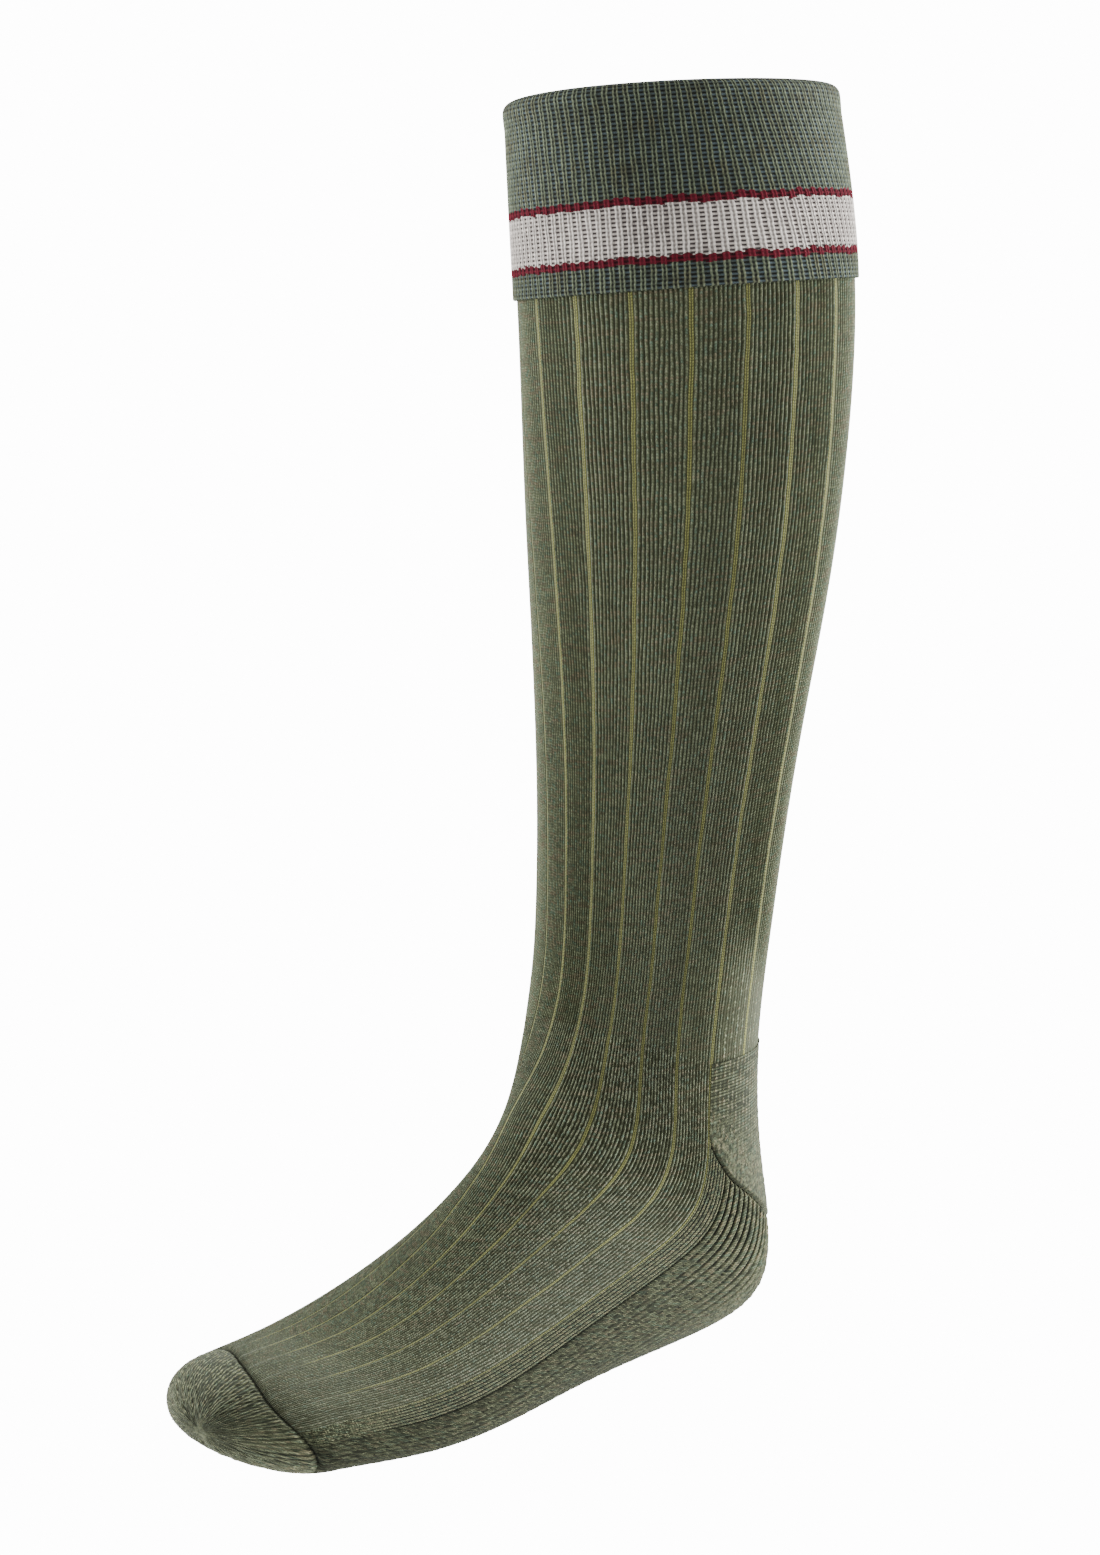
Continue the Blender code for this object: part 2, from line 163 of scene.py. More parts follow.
@dataclass
class SockForm:
    """The outer face of the sock as a fine net of points and normals."""

    size: SockSize = field(default_factory=SockSize)
    foot_crowd: float = 0.058
    foot_twist: tuple[float, float] = (0.009, 0.013)
    tip_reach: float = -0.868
    tip_rise: float = 0.262
    toe_angles: tuple[float, ...] = (25.0, 48.0, 68.0, 83.0, 90.0)
    steps_per_ring: int = 50
    turn_steps: int = 1536
    outline_steps: int = 720
    flattening: float = 0.45
    second_crowd: float = 0.012

    def __post_init__(self) -> None:
        """Work out the net once."""
        self.rows = self._ring_rows()
        self.bends = self._spline(self.rows)
        self.tip_ring = len(self.rows) - 1.0
        count = int(self.tip_ring) * self.steps_per_ring
        self.rings = np.linspace(0.0, self.tip_ring, count + 1)
        self.points = np.stack([self._ring_points(ring) for ring in self.rings])
        self.normals = self._net_normals()
        steps = np.linalg.norm(np.diff(self.points, axis=0), axis=2)
        self.lengths = np.concatenate((np.zeros((1, steps.shape[1])), np.cumsum(steps, axis=0)))

    def _ring_rows(self) -> Grid:
        """Rings in metres, leg, foot and the rounding of the toe.

        Returns:
            Ten numbers for each ring, as in LegRing.row.
        """
        rows = [ring.row(self.size) for ring in LEG_RINGS]
        twists = np.linspace(*self.foot_twist, len(FOOT_RINGS))
        rows += [ring.row(self.size, self.foot_crowd, twist)
                 for ring, twist in zip(FOOT_RINGS, twists)]
        last = np.array(rows[-1])
        tip = np.array((self.tip_reach * self.size.foot_length,
                        self.tip_rise * self.size.instep_height - self.size.drop))
        middle = (last[0:2] + last[2:4]) / 2
        for angle in np.radians(self.toe_angles):
            centre = middle + (tip - middle) * math.sin(angle)
            front = centre + (last[0:2] - middle) * math.cos(angle)
            back = centre + (last[2:4] - middle) * math.cos(angle)
            rows.append([*front, *back, last[4] * math.cos(angle), last[5],
                         last[6] * math.cos(angle), *last[7:10]])
        return np.array(rows)

    @staticmethod
    def _spline(rows: Grid) -> Grid:
        """Second derivatives of a natural cubic spline through the rings.

        Args:
            rows: the rings' numbers.

        Returns:
            A second derivative for each number.
        """
        count = len(rows)
        matrix = np.eye(count)
        right = np.zeros_like(rows)
        for i in range(1, count - 1):
            matrix[i, i - 1:i + 2] = (1.0, 4.0, 1.0)
            right[i] = 6.0 * (rows[i + 1] - 2.0 * rows[i] + rows[i - 1])
        return np.linalg.solve(matrix, right)

    def _ring_points(self, ring: float) -> Grid:
        """Points of one ring, evenly spaced in turns of the knit.

        Args:
            ring: place down the form, whole at a ring of the tables.

        Returns:
            A point for each step of a turn.
        """
        low = int(min(max(math.floor(ring), 0), len(self.rows) - 2))
        b = ring - low
        a = 1.0 - b
        row = (a * self.rows[low] + b * self.rows[low + 1]
               + ((a**3 - a) * self.bends[low] + (b**3 - b) * self.bends[low + 1]) / 6.0)
        psi = np.linspace(-math.pi, math.pi, self.outline_steps + 1)
        ahead, aside = np.cos(psi), np.sin(psi)
        front, back, width = row[0:2], row[2:4], max(row[4], 0.0)
        belly = back + row[5] * (front - back)
        power = np.where(ahead < 0, 1.0 - self.flattening * row[6], 1.0)
        across = width * np.sign(aside) * np.abs(aside)**power
        ends = np.where(ahead[:, None] < 0, back - belly, front - belly)
        outline = np.column_stack((across, belly + ends * (np.abs(ahead)**power)[:, None]))
        outline[:, 2] += row[9] * across
        steps = np.linalg.norm(np.diff(outline, axis=0), axis=1)
        girth = np.concatenate(((0.0,), np.cumsum(steps)))
        girth /= max(girth[-1], 1e-9)
        turns = np.linspace(-0.5, 0.5, self.turn_steps + 1)
        angle = 2.0 * math.pi * turns
        share = turns + row[8] - row[7] * np.sin(angle)
        share = (share + self.second_crowd * np.sin(2.0 * angle) + 0.5) % 1.0
        return np.column_stack([np.interp(share, girth, outline[:, i]) for i in range(3)])

    def _net_normals(self) -> Grid:
        """Outward direction at each point of the net.

        Returns:
            A unit vector for each point.
        """
        down = np.gradient(self.points, axis=0)
        ahead = np.roll(self.points[:, :-1], -1, axis=1) - np.roll(self.points[:, :-1], 1, axis=1)
        ahead = np.concatenate((ahead, ahead[:, :1]), axis=1)
        normals = np.cross(down, ahead)
        normals /= np.maximum(np.linalg.norm(normals, axis=2, keepdims=True), 1e-12)
        tip = self.points[-1, 0] - self.points[-3 * self.steps_per_ring].mean(axis=0)
        normals[-3:] = tip / np.linalg.norm(tip)
        return normals

    def _pick(self, net: Grid, rings: Grid, turns: Grid) -> Grid:
        """Read a net between its points.

        Args:
            net: values at the points of the net.
            rings: ring of each place.
            turns: turn of each place.

        Returns:
            The values at those places.
        """
        down = np.clip(rings * self.steps_per_ring, 0, len(self.rings) - 1.001)
        across = ((turns + 0.5) % 1.0) * self.turn_steps
        i, j = down.astype(int), np.minimum(across.astype(int), self.turn_steps - 1)
        a, b = (down - i)[..., None], (across - j)[..., None]
        values = net if net.ndim == 3 else net[..., None]
        found = ((1 - a) * ((1 - b) * values[i, j] + b * values[i, j + 1])
                 + a * ((1 - b) * values[i + 1, j] + b * values[i + 1, j + 1]))
        return found if net.ndim == 3 else found[..., 0]

    def lift(self, rings: Grid, turns: Grid, height: Grid | float = 0.0) -> Grid:
        """Points that stand off the form.

        Args:
            rings: ring of each point.
            turns: turn of each point.
            height: distance off the form, outward positive, in metres.

        Returns:
            Positions, one more axis than the input.
        """
        rings, turns = np.broadcast_arrays(rings, turns)
        height = np.broadcast_to(height, rings.shape)[..., None]
        normal = self._pick(self.normals, rings, turns)
        return self._pick(self.points, rings, turns) + height * normal

    def length(self, rings: Grid, turns: Grid) -> Grid:
        """Distance along the knit from the leg opening, in metres."""
        rings, turns = np.broadcast_arrays(rings, turns)
        return self._pick(self.lengths, rings, turns)

    def ring_at_drop(self, drop: Grid | float) -> Grid:
        """The ring whose centre lies a distance below the leg opening.

        Args:
            drop: distance below the leg opening, in metres.

        Returns:
            The ring, which may lie between two rings of the tables.
        """
        rings = np.linspace(0.0, 4.0, 4 * self.steps_per_ring + 1)
        centre = (self.points[:len(rings), 0] + self.points[:len(rings), self.turn_steps // 2]) / 2
        return np.interp(drop, -centre[:, 2], rings)


def ramp(values: Grid, start: float, end: float) -> Grid:
    """Smooth step from 0 at start to 1 at end."""
    share = np.clip((values - start) / (end - start), 0.0, 1.0)
    return share * share * (3.0 - 2.0 * share)


def fall(values: Grid, start: float, end: float) -> Grid:
    """Smooth step from 1 at start to 0 at end."""
    return 1.0 - ramp(values, start, end)


def shares(steps: int) -> Grid:
    """Even shares from 0 to 1, one below another."""
    return np.linspace(0.0, 1.0, steps + 1)[:, None]


def pair(first: Grid | float, second: Grid | float) -> Grid:
    """Two quantities side by side at each point of a grid."""
    return np.stack(np.broadcast_arrays(first, second), axis=-1)


@dataclass(frozen=True)
class Wander:
    """Gentle sideways drift of the wales, the same on every run."""

    seed: int
    size: float
    shortest: float
    longest: float
    waves: int = 14

    def __call__(self, turns: Grid, lengths: Grid) -> Grid:
        """Drift at each place.

        Args:
            turns: turn round the sock.
            lengths: distance along it, in metres.

        Returns:
            Drift with a spread of about size.
        """
        rng = np.random.default_rng(self.seed)
        total = np.zeros(np.broadcast(turns, lengths).shape)
        for _ in range(self.waves):
            wave = rng.uniform(self.shortest, self.longest)
            round_ = rng.integers(-40, 41)
            phase = rng.uniform(0.0, 2.0 * math.pi)
            total += np.sin(2.0 * math.pi * (round_ * turns + lengths / wave) + phase)
        return self.size * total * math.sqrt(2.0 / self.waves)


# Knit laid as fine grids

@dataclass
class KnitSheet:
    """A grid of knit, with its stitch and zone coordinates, and its painted shade and brightening.
    """

    name: str
    points: Grid
    stitches: Grid
    zones: Grid
    closed: bool
    painted_shade_and_brightening: Grid | None = None

    def build(self, finish: Material, outward: bool = True) -> Piece:
        """Make the piece.

        Args:
            finish: its material.
            outward: whether its faces look away from the leg.

        Returns:
            The finished object.
        """
        rows, columns = self.points.shape[:2]
        work = bmesh.new()
        bmesh.ops.create_grid(work, x_segments=columns - 1, y_segments=rows - 1, size=1.0)
        mesh = bpy.data.meshes.new(self.name)
        work.to_mesh(mesh)
        spots = np.empty(3 * len(mesh.vertices))
        mesh.vertices.foreach_get("co", spots)
        spots = spots.reshape(-1, 3)
        column = np.rint((spots[:, 0] + 1.0) / 2.0 * (columns - 1)).astype(int)
        row = np.rint((spots[:, 1] + 1.0) / 2.0 * (rows - 1)).astype(int)
        mesh.vertices.foreach_set("co", self.points[row, column].ravel())
        corners = np.empty(len(mesh.loops), dtype=int)
        mesh.loops.foreach_get("vertex_index", corners)
        painted_shade_and_brightening = np.zeros_like(self.zones) if self.painted_shade_and_brightening is None else self.painted_shade_and_brightening
        for title, values in (("knit", self.stitches), ("zone", self.zones), ("painted_shade_brightening", painted_shade_and_brightening)):
            layer = mesh.uv_layers.new(name=title)
            layer.data.foreach_set("uv", values[row, column][corners].ravel())
        work.clear()
        work.from_mesh(mesh)
        if self.closed:
            bmesh.ops.remove_doubles(work, verts=work.verts[:], dist=1e-6)
        bmesh.ops.recalc_face_normals(work, faces=work.faces[:])
        self._face(work, outward)
        work.to_mesh(mesh)
        work.free()
        mesh.shade_smooth()
        mesh.materials.append(finish)
        piece = bpy.data.objects.new(self.name, mesh)
        bpy.context.scene.collection.objects.link(piece)
        log.info("%s: %d faces", self.name, len(mesh.polygons))
        return piece

    def _face(self, work: bmesh.types.BMesh, outward: bool) -> None:
        """Turn the faces the right way, judged from the middle of the grid.

        Args:
            work: the mesh.
            outward: whether its faces look away from the leg.
        """
        rows, columns = self.points.shape[:2]
        i, j = rows // 2, columns // 2
        down = self.points[i + 1, j] - self.points[i - 1, j]
        across = self.points[i, j + 1] - self.points[i, j - 1]
        out = Vector(np.cross(down, across))
        middle = Vector(self.points[i, j])
        work.faces.ensure_lookup_table()
        nearest = min(work.faces, key=lambda f: (f.calc_center_median() - middle).length_squared)
        if (nearest.normal.dot(out) > 0) != outward:
            bmesh.ops.reverse_faces(work, faces=work.faces[:])


class Zone(Enum):
    """Which part of model.glb a piece stands for."""

    LEG = "leg"
    INSTEP = "instep"
    UPPER_HEEL = "upper_heel"
    SOLE = "sole"
    TOE_CAP = "toe_cap"
    TOE_SEAM = "toe_seam"
    TURNOVER = "turnover_cuff"
    UPPER_STRIPE = "upper_stripe"
    CREAM = "cream_band"
    LOWER_STRIPE = "lower_stripe"
    HEM = "cuff_hem"


def dress(piece: Piece, zone: Zone) -> None:
    """Hang a finished piece under the root body and hide the model part it stands for.

    Args:
        piece: the finished object.
        zone: what it stands for in model.glb.
    """
    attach(piece, "root")
    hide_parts(zone.value)


# Shader arithmetic

class Field:
    """A shader quantity that takes part in plain arithmetic."""

    def __init__(self, recipe: "Recipe", socket: bpy.types.NodeSocket) -> None:
        """Wrap an output socket of a recipe's tree."""
        self.recipe = recipe
        self.socket = socket

    def math(self, operation: str, *others: Any) -> "Field":
        """Any Math operation on this quantity."""
        sockets = {index + 1: other for index, other in enumerate(others)}
        return self.recipe.make("ShaderNodeMath", {"operation": operation}, {0: self, **sockets})

    def __add__(self, other: Any) -> "Field":
        """This plus another."""
        return self.math("ADD", other)

    def __sub__(self, other: Any) -> "Field":
        """This less another."""
        return self.math("SUBTRACT", other)

    def __rsub__(self, other: Any) -> "Field":
        """Another less this."""
        return self.math("MULTIPLY_ADD", -1.0, other)

    def __mul__(self, other: Any) -> "Field":
        """This times another."""
        return self.math("MULTIPLY", other)

    def __truediv__(self, other: Any) -> "Field":
        """This divided by another."""
        return self.math("DIVIDE", other)

    def __abs__(self) -> "Field":
        """This without its sign."""
        return self.math("ABSOLUTE")

    __radd__ = __add__
    __rmul__ = __mul__

    def wave(self) -> "Field":
        """Cosine with a period of one."""
        return (self * (2.0 * math.pi)).math("COSINE")

    def ridge(self) -> "Field":
        """Wave with a period of one, from 0 to 1."""
        return self.wave() * 0.5 + 0.5

    def over(self, limit: float) -> "Field":
        """How far this is above a limit, and 0 below it."""
        return (self - limit).math("MAXIMUM", 0.0)

    def whole(self) -> "Field":
        """The nearest whole number."""
        return self.math("ROUND")

    def fade(self, start: float, end: float) -> "Field":
        """Smooth step from 0 at start to 1 at end.

        Args:
            start: value that gives 0.
            end: value that gives 1.

        Returns:
            The step.
        """
        settings = {"interpolation_type": "SMOOTHSTEP"}
        sockets = {"Value": self, "From Min": start, "From Max": end, "To Min": 0.0, "To Max": 1.0}
        return self.recipe.make("ShaderNodeMapRange", settings, sockets)


class Recipe:
    """The node tree of one finish."""

    def __init__(self, name: str) -> None:
        """Start from a Principled shader.

        Args:
            name: name of the material.
        """
        self.material = bpy.data.materials.new(name)
        self.material.use_nodes = True
        self.tree = self.material.node_tree
        self.shader = self.tree.nodes["Principled BSDF"]

    def make(self, kind: str, settings: dict[str, Any], sockets: dict[Any, Any],
             output: int | str = 0) -> Field:
        """Add a node.

        Args:
            kind: node type.
            settings: its properties.
            sockets: its inputs by name or index, as fields or constants.
            output: name or index of the output to return.

        Returns:
            The chosen output.
        """
        node = self.tree.nodes.new(kind)
        for key, value in settings.items():
            setattr(node, key, value)
        for key, value in sockets.items():
            target = node.inputs[key]
            if isinstance(value, Field):
                self.tree.links.new(value.socket, target)
            elif target.type == "RGBA":
                target.default_value = tint(value)
            else:
                target.default_value = value
        return Field(self, node.outputs[output])

    def place(self, layer: str) -> tuple[Field, Field]:
        """The two coordinates of a piece's own layer.

        Args:
            layer: name of the layer.

        Returns:
            The first coordinate and the second.
        """
        uv = self.make("ShaderNodeUVMap", {"uv_map": layer}, {})
        split = self.make("ShaderNodeSeparateXYZ", {}, {0: uv})
        return split, Field(self, split.socket.node.outputs[1])

    def join(self, x: Any, y: Any, z: Any = 0.0) -> Field:
        """A vector of three quantities."""
        return self.make("ShaderNodeCombineXYZ", {}, {0: x, 1: y, 2: z})

    def dice(self, x: Any, y: Any) -> Field:
        """A fixed random number for each whole x and y."""
        settings = {"noise_dimensions": "2D"}
        return self.make("ShaderNodeTexWhiteNoise", settings, {"Vector": self.join(x, y)}, "Value")

    def cloud(self, place: Field, scale: float, detail: float = 2.0) -> Field:
        """Soft noise from 0 to 1."""
        sockets = {"Vector": place, "Scale": scale, "Detail": detail, "Roughness": 0.55}
        return self.make("ShaderNodeTexNoise", {"noise_dimensions": "3D"}, sockets)

    def blend(self, first: Any, second: Any, share: Any) -> Field:
        """Two colours mixed."""
        sockets = {0: share, 6: first, 7: second}
        return self.make("ShaderNodeMix", {"data_type": "RGBA", "clamp_factor": True}, sockets, 2)

    def body(self) -> Field:
        """Place in the piece's own space, in metres."""
        return self.make("ShaderNodeTexCoord", {}, {}, "Object")

    def paint_shade_and_brighten(self, colour: Any, share: Any) -> Field:
        """A colour darkened by the piece's painted shade and lightened by its brightening layer.

        Args:
            colour: colour of the yarn.
            share: how bright it is.

        Returns:
            The colour with its painted shade and brightening.
        """
        # the first coordinate is painted shade that darkens the yarn; the second lightens it
        painted_shade, brightening = self.place("painted_shade_brightening")
        lit = (1.0 - painted_shade * CREASE_SHADE) * (1.0 + brightening * BRIGHTENING_LIFT) * share
        return self.shade(colour, lit)

    def shade(self, colour: Any, share: Field) -> Field:
        """A colour made lighter or darker by a factor."""
        return self.make("ShaderNodeVectorMath", {"operation": "SCALE"},
                         {0: colour, "Scale": share})

    def finish(self, colour: Field, height: Field, depth: float, fuzz: float) -> Material:
        """Close the recipe.

        Args:
            colour: yarn colour.
            height: relief of the stitches, 0 to 1.
            depth: what a height of 1 comes to, in metres.
            fuzz: weight of the sheen that loose fibres give.

        Returns:
            The material.
        """
        bump = self.make("ShaderNodeBump", {}, {"Strength": BUMP_STRENGTH, "Distance": depth,
                                                "Height": height}, "Normal")
        self.tree.links.new(colour.socket, self.shader.inputs["Base Color"])
        self.tree.links.new(bump.socket, self.shader.inputs["Normal"])
        for name, value in {**KNIT_SURFACE, "Sheen Weight": fuzz}.items():
            self.shader.inputs[name].default_value = value
        return self.material


@dataclass(frozen=True)
class Stitch:
    """Knitted stitches, as fields of brightness."""

    leg: Field
    bead: Field
    chance: Field
    other: Field

    @classmethod
    def at(cls, r: Recipe, wale: Field, course: Field, slant: float, slip: float) -> "Stitch":
        """Lay stitches on a grid of wales and courses.

        Args:
            r: the recipe they belong to.
            wale: place across the wales.
            course: place along them.
            slant: how far the legs lean, in courses per wale.
            slip: uneven start of each wale, in courses.

        Returns:
            The legs, the beads along them, and two chances per stitch.
        """
        column = wale.whole()
        beside = wale - column
        away = abs(beside)
        row = course + r.dice(column, 7.0) * slip - away * slant
        off = away * 4.0 - 1.0
        chance = r.dice(column * 3.0 + beside.math("SIGN"), row.whole())
        other = r.dice(column + 0.5, row.whole() + 31.0)
        return cls(1.0 - off * off, row.ridge(), chance, other)


def tint(colour: Colour) -> tuple[float, float, float, float]:
    """A colour with its alpha."""
    return (*colour, 1.0)


@dataclass(frozen=True)
class Yarn:
    """Colours of one yarn: the bright loops, the shadows between, and its stray fibres."""

    loop: Colour
    shadow: Colour
    warm: Colour
    cool: Colour


OLIVE = Yarn((0.285, 0.325, 0.190), (0.028, 0.030, 0.013), (0.275, 0.220, 0.140),
             (0.165, 0.275, 0.195))
STRIPE = Yarn((0.385, 0.395, 0.120), (0.060, 0.058, 0.020), (0.300, 0.250, 0.080),
              (0.230, 0.260, 0.100))
TERRY = Yarn((0.345, 0.385, 0.212), (0.008, 0.009, 0.005), (0.350, 0.285, 0.170),
             (0.190, 0.300, 0.195))
SLATE = Yarn((0.215, 0.255, 0.170), (0.009, 0.009, 0.009), (0.185, 0.180, 0.105),
             (0.110, 0.150, 0.165))
MAROON = Yarn((0.150, 0.016, 0.028), (0.022, 0.006, 0.008), (0.170, 0.030, 0.030),
              (0.100, 0.012, 0.026))
CREAM = Yarn((0.970, 0.895, 0.820), (0.040, 0.030, 0.031), (0.720, 0.600, 0.500),
             (0.640, 0.640, 0.640))


@dataclass(frozen=True)
class RibFinish:
    """Fine rib with pinstripes, for the leg and the instep."""

    name: str
    heather: float = 0.14
    speck: float = 0.0
    fuzz: float = 0.40
    depth: float = 0.00055

    def material(self) -> Material:
        """Build the finish.

        Returns:
            The material.
        """
        r = Recipe(self.name)
        wale, course = r.place("knit")
        rib, stripe = r.place("zone")
        strand = wale.ridge()
        knit = Stitch.at(r, wale, course, 1.3, 0.5)
        flat = Stitch.at(r, wale * 0.5, course * 0.8, 1.2, 0.5)
        column = 0.80 + r.dice(wale.whole(), 2.0) * 0.40
        even = 0.30 + knit.chance * 0.80
        uneven = 0.07 + knit.chance * knit.chance * 2.5
        sharp = 0.45 + self.speck * 0.55
        ribbed = strand * (0.75 * (1.0 - sharp) + strand * sharp) * (0.66 + knit.bead * 0.48)
        ribbed = ribbed * (even * (1.0 - self.speck) + uneven * self.speck)
        coarse = (wale * 0.5).ridge()
        plain = (0.01 + coarse * coarse * 0.50) * (0.30 + flat.bead * 0.70)
        plain = plain * (0.02 + flat.chance * flat.chance * 2.2)
        lit = (ribbed * rib + plain * (1.0 - rib)) * column
        run = r.dice((wale * 0.23 + course * 0.31).whole(), course.whole() + 5.0)
        band = r.dice(9.0, (course * 0.5).whole())
        wide = r.cloud(r.join(wale * 0.06, course * 0.03), 1.0)
        yarn = r.blend(OLIVE.loop, OLIVE.warm, run.fade(0.55, 0.95) * 0.8)
        yarn = r.blend(yarn, OLIVE.cool, knit.other.over(0.70) * 3.0)
        green = r.blend(OLIVE.shadow, yarn, lit)
        turn = wale / STRIPE_WALES
        off = abs(turn - turn.whole()) * STRIPE_WALES / (0.40 + stripe * 0.60)
        legs = 1.0 - abs(off - 0.27).fade(0.08, 0.24)
        gold_lit = legs * (0.70 + (course + off * 0.9).wave() * 0.30) * (0.70 + knit.chance * 0.45)
        gold_lit = gold_lit + (1.0 - stripe) * 0.55
        gold = r.blend(STRIPE.shadow, STRIPE.loop, gold_lit)
        inside = (1.0 - off.fade(0.48, 0.60)) * stripe.fade(0.02, 0.30)
        colour = r.blend(green, gold, inside)
        mottle = 1.0 + (run + band - 1.0) * (1.0 - inside * 0.6) * self.heather
        colour = r.paint_shade_and_brighten(colour, (0.84 + wide * 0.30) * mottle)
        height = lit * (1.0 - inside) + gold_lit * inside
        return r.finish(colour, height, self.depth, self.fuzz)


@dataclass(frozen=True)
class TerryFinish:
    """Looped knit of the heel, sole and toe, with ribs where its zone asks for them."""

    name: str
    coarse: float = 1.0
    rows: float = 0.0
    grain: float = 1.0
    regular: float = 1.0
    fuzz: float = 0.25
    depth: float = 0.0007

    def material(self) -> Material:
        """Build the finish.

        Returns:
            The material.
        """
        r = Recipe(self.name)
        wale, course = r.place("knit")
        rib, rough = r.place("zone")
        knit = Stitch.at(r, wale, course, 1.2, 0.25)
        body = r.body()
        knot = r.cloud(body, 620.0 / self.coarse, 4.0).fade(0.38, 0.60)
        patch = r.cloud(body, 45.0)
        loop = Stitch.at(r, wale * self.grain, course * self.grain, 1.2, 0.25)
        sparkle = loop.chance * loop.chance * (2.4 - self.regular * 0.4) + loop.other * 0.14
        strand = (wale * self.grain).ridge()
        strand = strand * strand * 1.30 * self.regular + 0.50 * (1.0 - self.regular)
        vee = (0.04 + strand) * (0.20 + loop.bead * 0.80) * sparkle * 1.10
        dash = course.ridge() * r.dice((wale * 0.5).whole(), course.whole())
        vee = vee * (1.0 - self.rows * 0.60) + dash * (self.rows * 0.44)
        speckle = (0.10 + knot * 0.40) * (0.36 + knit.chance * 0.75)
        plain = vee * (1.0 - rough) + speckle * rough
        broken = r.dice((wale - 0.5).whole(), (course * 0.24).whole()).fade(0.20, 0.50)
        whole = 1.0 - (1.0 - broken) * wale.fade(12.0, 19.0) * (1.0 - self.rows)
        groove = abs(wale - wale.whole()).fade(0.23, 0.40) * whole
        ribbed = (0.08 + knit.leg * 0.34 + knit.bead * 0.42) * (0.16 + knit.chance * 1.10)
        ribbed = ribbed * (1.0 - groove)
        lit = ribbed * rib + plain * (1.0 - rib)
        warm = knit.chance.over(0.60) * 1.8
        yarn = r.blend(TERRY.loop, TERRY.warm, warm)
        yarn = r.blend(yarn, TERRY.cool, knit.other.over(0.74) * 3.0)
        shadow = r.blend(TERRY.shadow, SLATE.shadow, rib)
        colour = r.paint_shade_and_brighten(r.blend(shadow, yarn, lit), 0.80 + patch * 0.34)
        return r.finish(colour, lit, self.depth, self.fuzz)


@dataclass(frozen=True)
class OpenRibFinish:
    """Open one-and-one rib of the cuff, striped by its distance from the fold."""

    name: str
    edges: tuple[float, float, float, float]
    fuzz: float = 0.0
    depth: float = 0.0004
    thinner: float = 0.00025

    def material(self) -> Material:
        """Build the finish.

        Returns:
            The material.
        """
        r = Recipe(self.name)
        rib, drop = r.place("knit")
        near = rib.whole()
        beside = rib - near
        course = drop * (1.0 / CUFF_COURSE)
        sway = (course * 0.5).wave() * 0.018
        away = abs(beside + sway)
        leg = 1.0 - abs(away - 0.19).fade(0.035, 0.125)
        legs = 1.0 - away.fade(0.23, 0.33)
        flank = near * 3.0 + beside.math("SIGN")
        chance = r.dice(flank, course.whole())
        bar = (course + CUFF_START).ridge().math("POWER", 1.2)
        shut = r.cloud(r.join(rib * 0.09 + 4.0, course * 0.05), 1.0).fade(0.42, 0.66)
        bead = (course + away * 1.5).wave()
        leg_lit = leg * (0.80 + bead * 0.20) * (0.62 + chance * 0.55)
        slit = legs * (1.0 - leg) * (0.12 + bead * 0.10)
        rung = (1.0 - legs) * bar * (0.30 + shut * 0.25 + chance * 0.30)
        lit = leg_lit + slit + rung
        jag = rib.wave() * 0.00015 + (r.dice(near, 3.0) - 0.5) * 0.0009
        level = drop + jag + (r.dice(flank, 5.0) - 0.5) * 0.0005
        thin = (1.0 - legs) * self.thinner
        maroon = self._band(level, thin + self.edges[0], self.edges[1] - thin)
        maroon = maroon + self._band(level, thin + self.edges[2], self.edges[3] - thin)
        cream = self._band(level, self.edges[1] - thin, thin + self.edges[2])
        patch = r.cloud(r.join(rib * 0.25, course * 0.16), 1.0, 3.0)
        loop = r.blend(SLATE.loop, SLATE.warm, patch.fade(0.45, 0.70) * 0.7)
        loop = r.blend(loop, SLATE.cool, rung * 2.2)
        loop = r.blend(loop, CREAM.loop, cream)
        loop = r.blend(loop, MAROON.loop, maroon)
        shadow = r.blend(SLATE.shadow, CREAM.shadow, cream)
        shadow = r.blend(shadow, MAROON.shadow, maroon)
        lit = lit + maroon * legs * 0.40 + cream * legs * (0.10 + shut * 0.10)
        colour = r.blend(shadow, loop, lit)
        return r.finish(colour, lit, self.depth, self.fuzz)

    @staticmethod
    def _band(level: Field, top: Any, bottom: Any) -> Field:
        """1 between two drops."""
        soft = 0.00015
        return (level - top).fade(-soft, soft) * (1.0 - (level - bottom).fade(-soft, soft))


# Pieces of the sock

@dataclass(frozen=True)
class Borders:
    """Where the pieces of the foot meet, in rings and turns."""

    ankle: float = 9.3
    heel_top: float = 8.6
    gore_start: float = 10.50
    gore: float = 10.93
    gore_sweep: float = 0.06
    seam: float = 17.66
    seam_skew: float = 0.67
    seam_bow: float = 0.13
    side: float = 0.25

    def around(self, turns: Grid) -> Grid:
        """How far round from the front each turn lies, 0 to 0.5."""
        return np.abs((turns + 0.5) % 1.0 - 0.5)

    def ankle_at(self, turns: Grid) -> Grid:
        """Ring where the leg ends. It climbs over the heel panel towards the back."""
        past = np.maximum(self.around(turns) - self.side, 0.0) / (0.5 - self.side)
        return self.ankle - (self.ankle - self.heel_top) * np.sin(math.pi / 2 * past)

    def gore_at(self, turns: Grid) -> Grid:
        """Ring of the gore."""
        past = np.clip((self.around(turns) - self.side) / self.gore_sweep, 0.0, 1.0)
        return self.gore - (self.gore - self.gore_start) * (1.0 - past)**2

    def seam_at(self, turns: Grid) -> Grid:
        """Ring of the toe seam."""
        angle = 2.0 * math.pi * turns
        return self.seam + self.seam_skew * np.sin(angle) + self.seam_bow * np.sin(2.0 * angle)


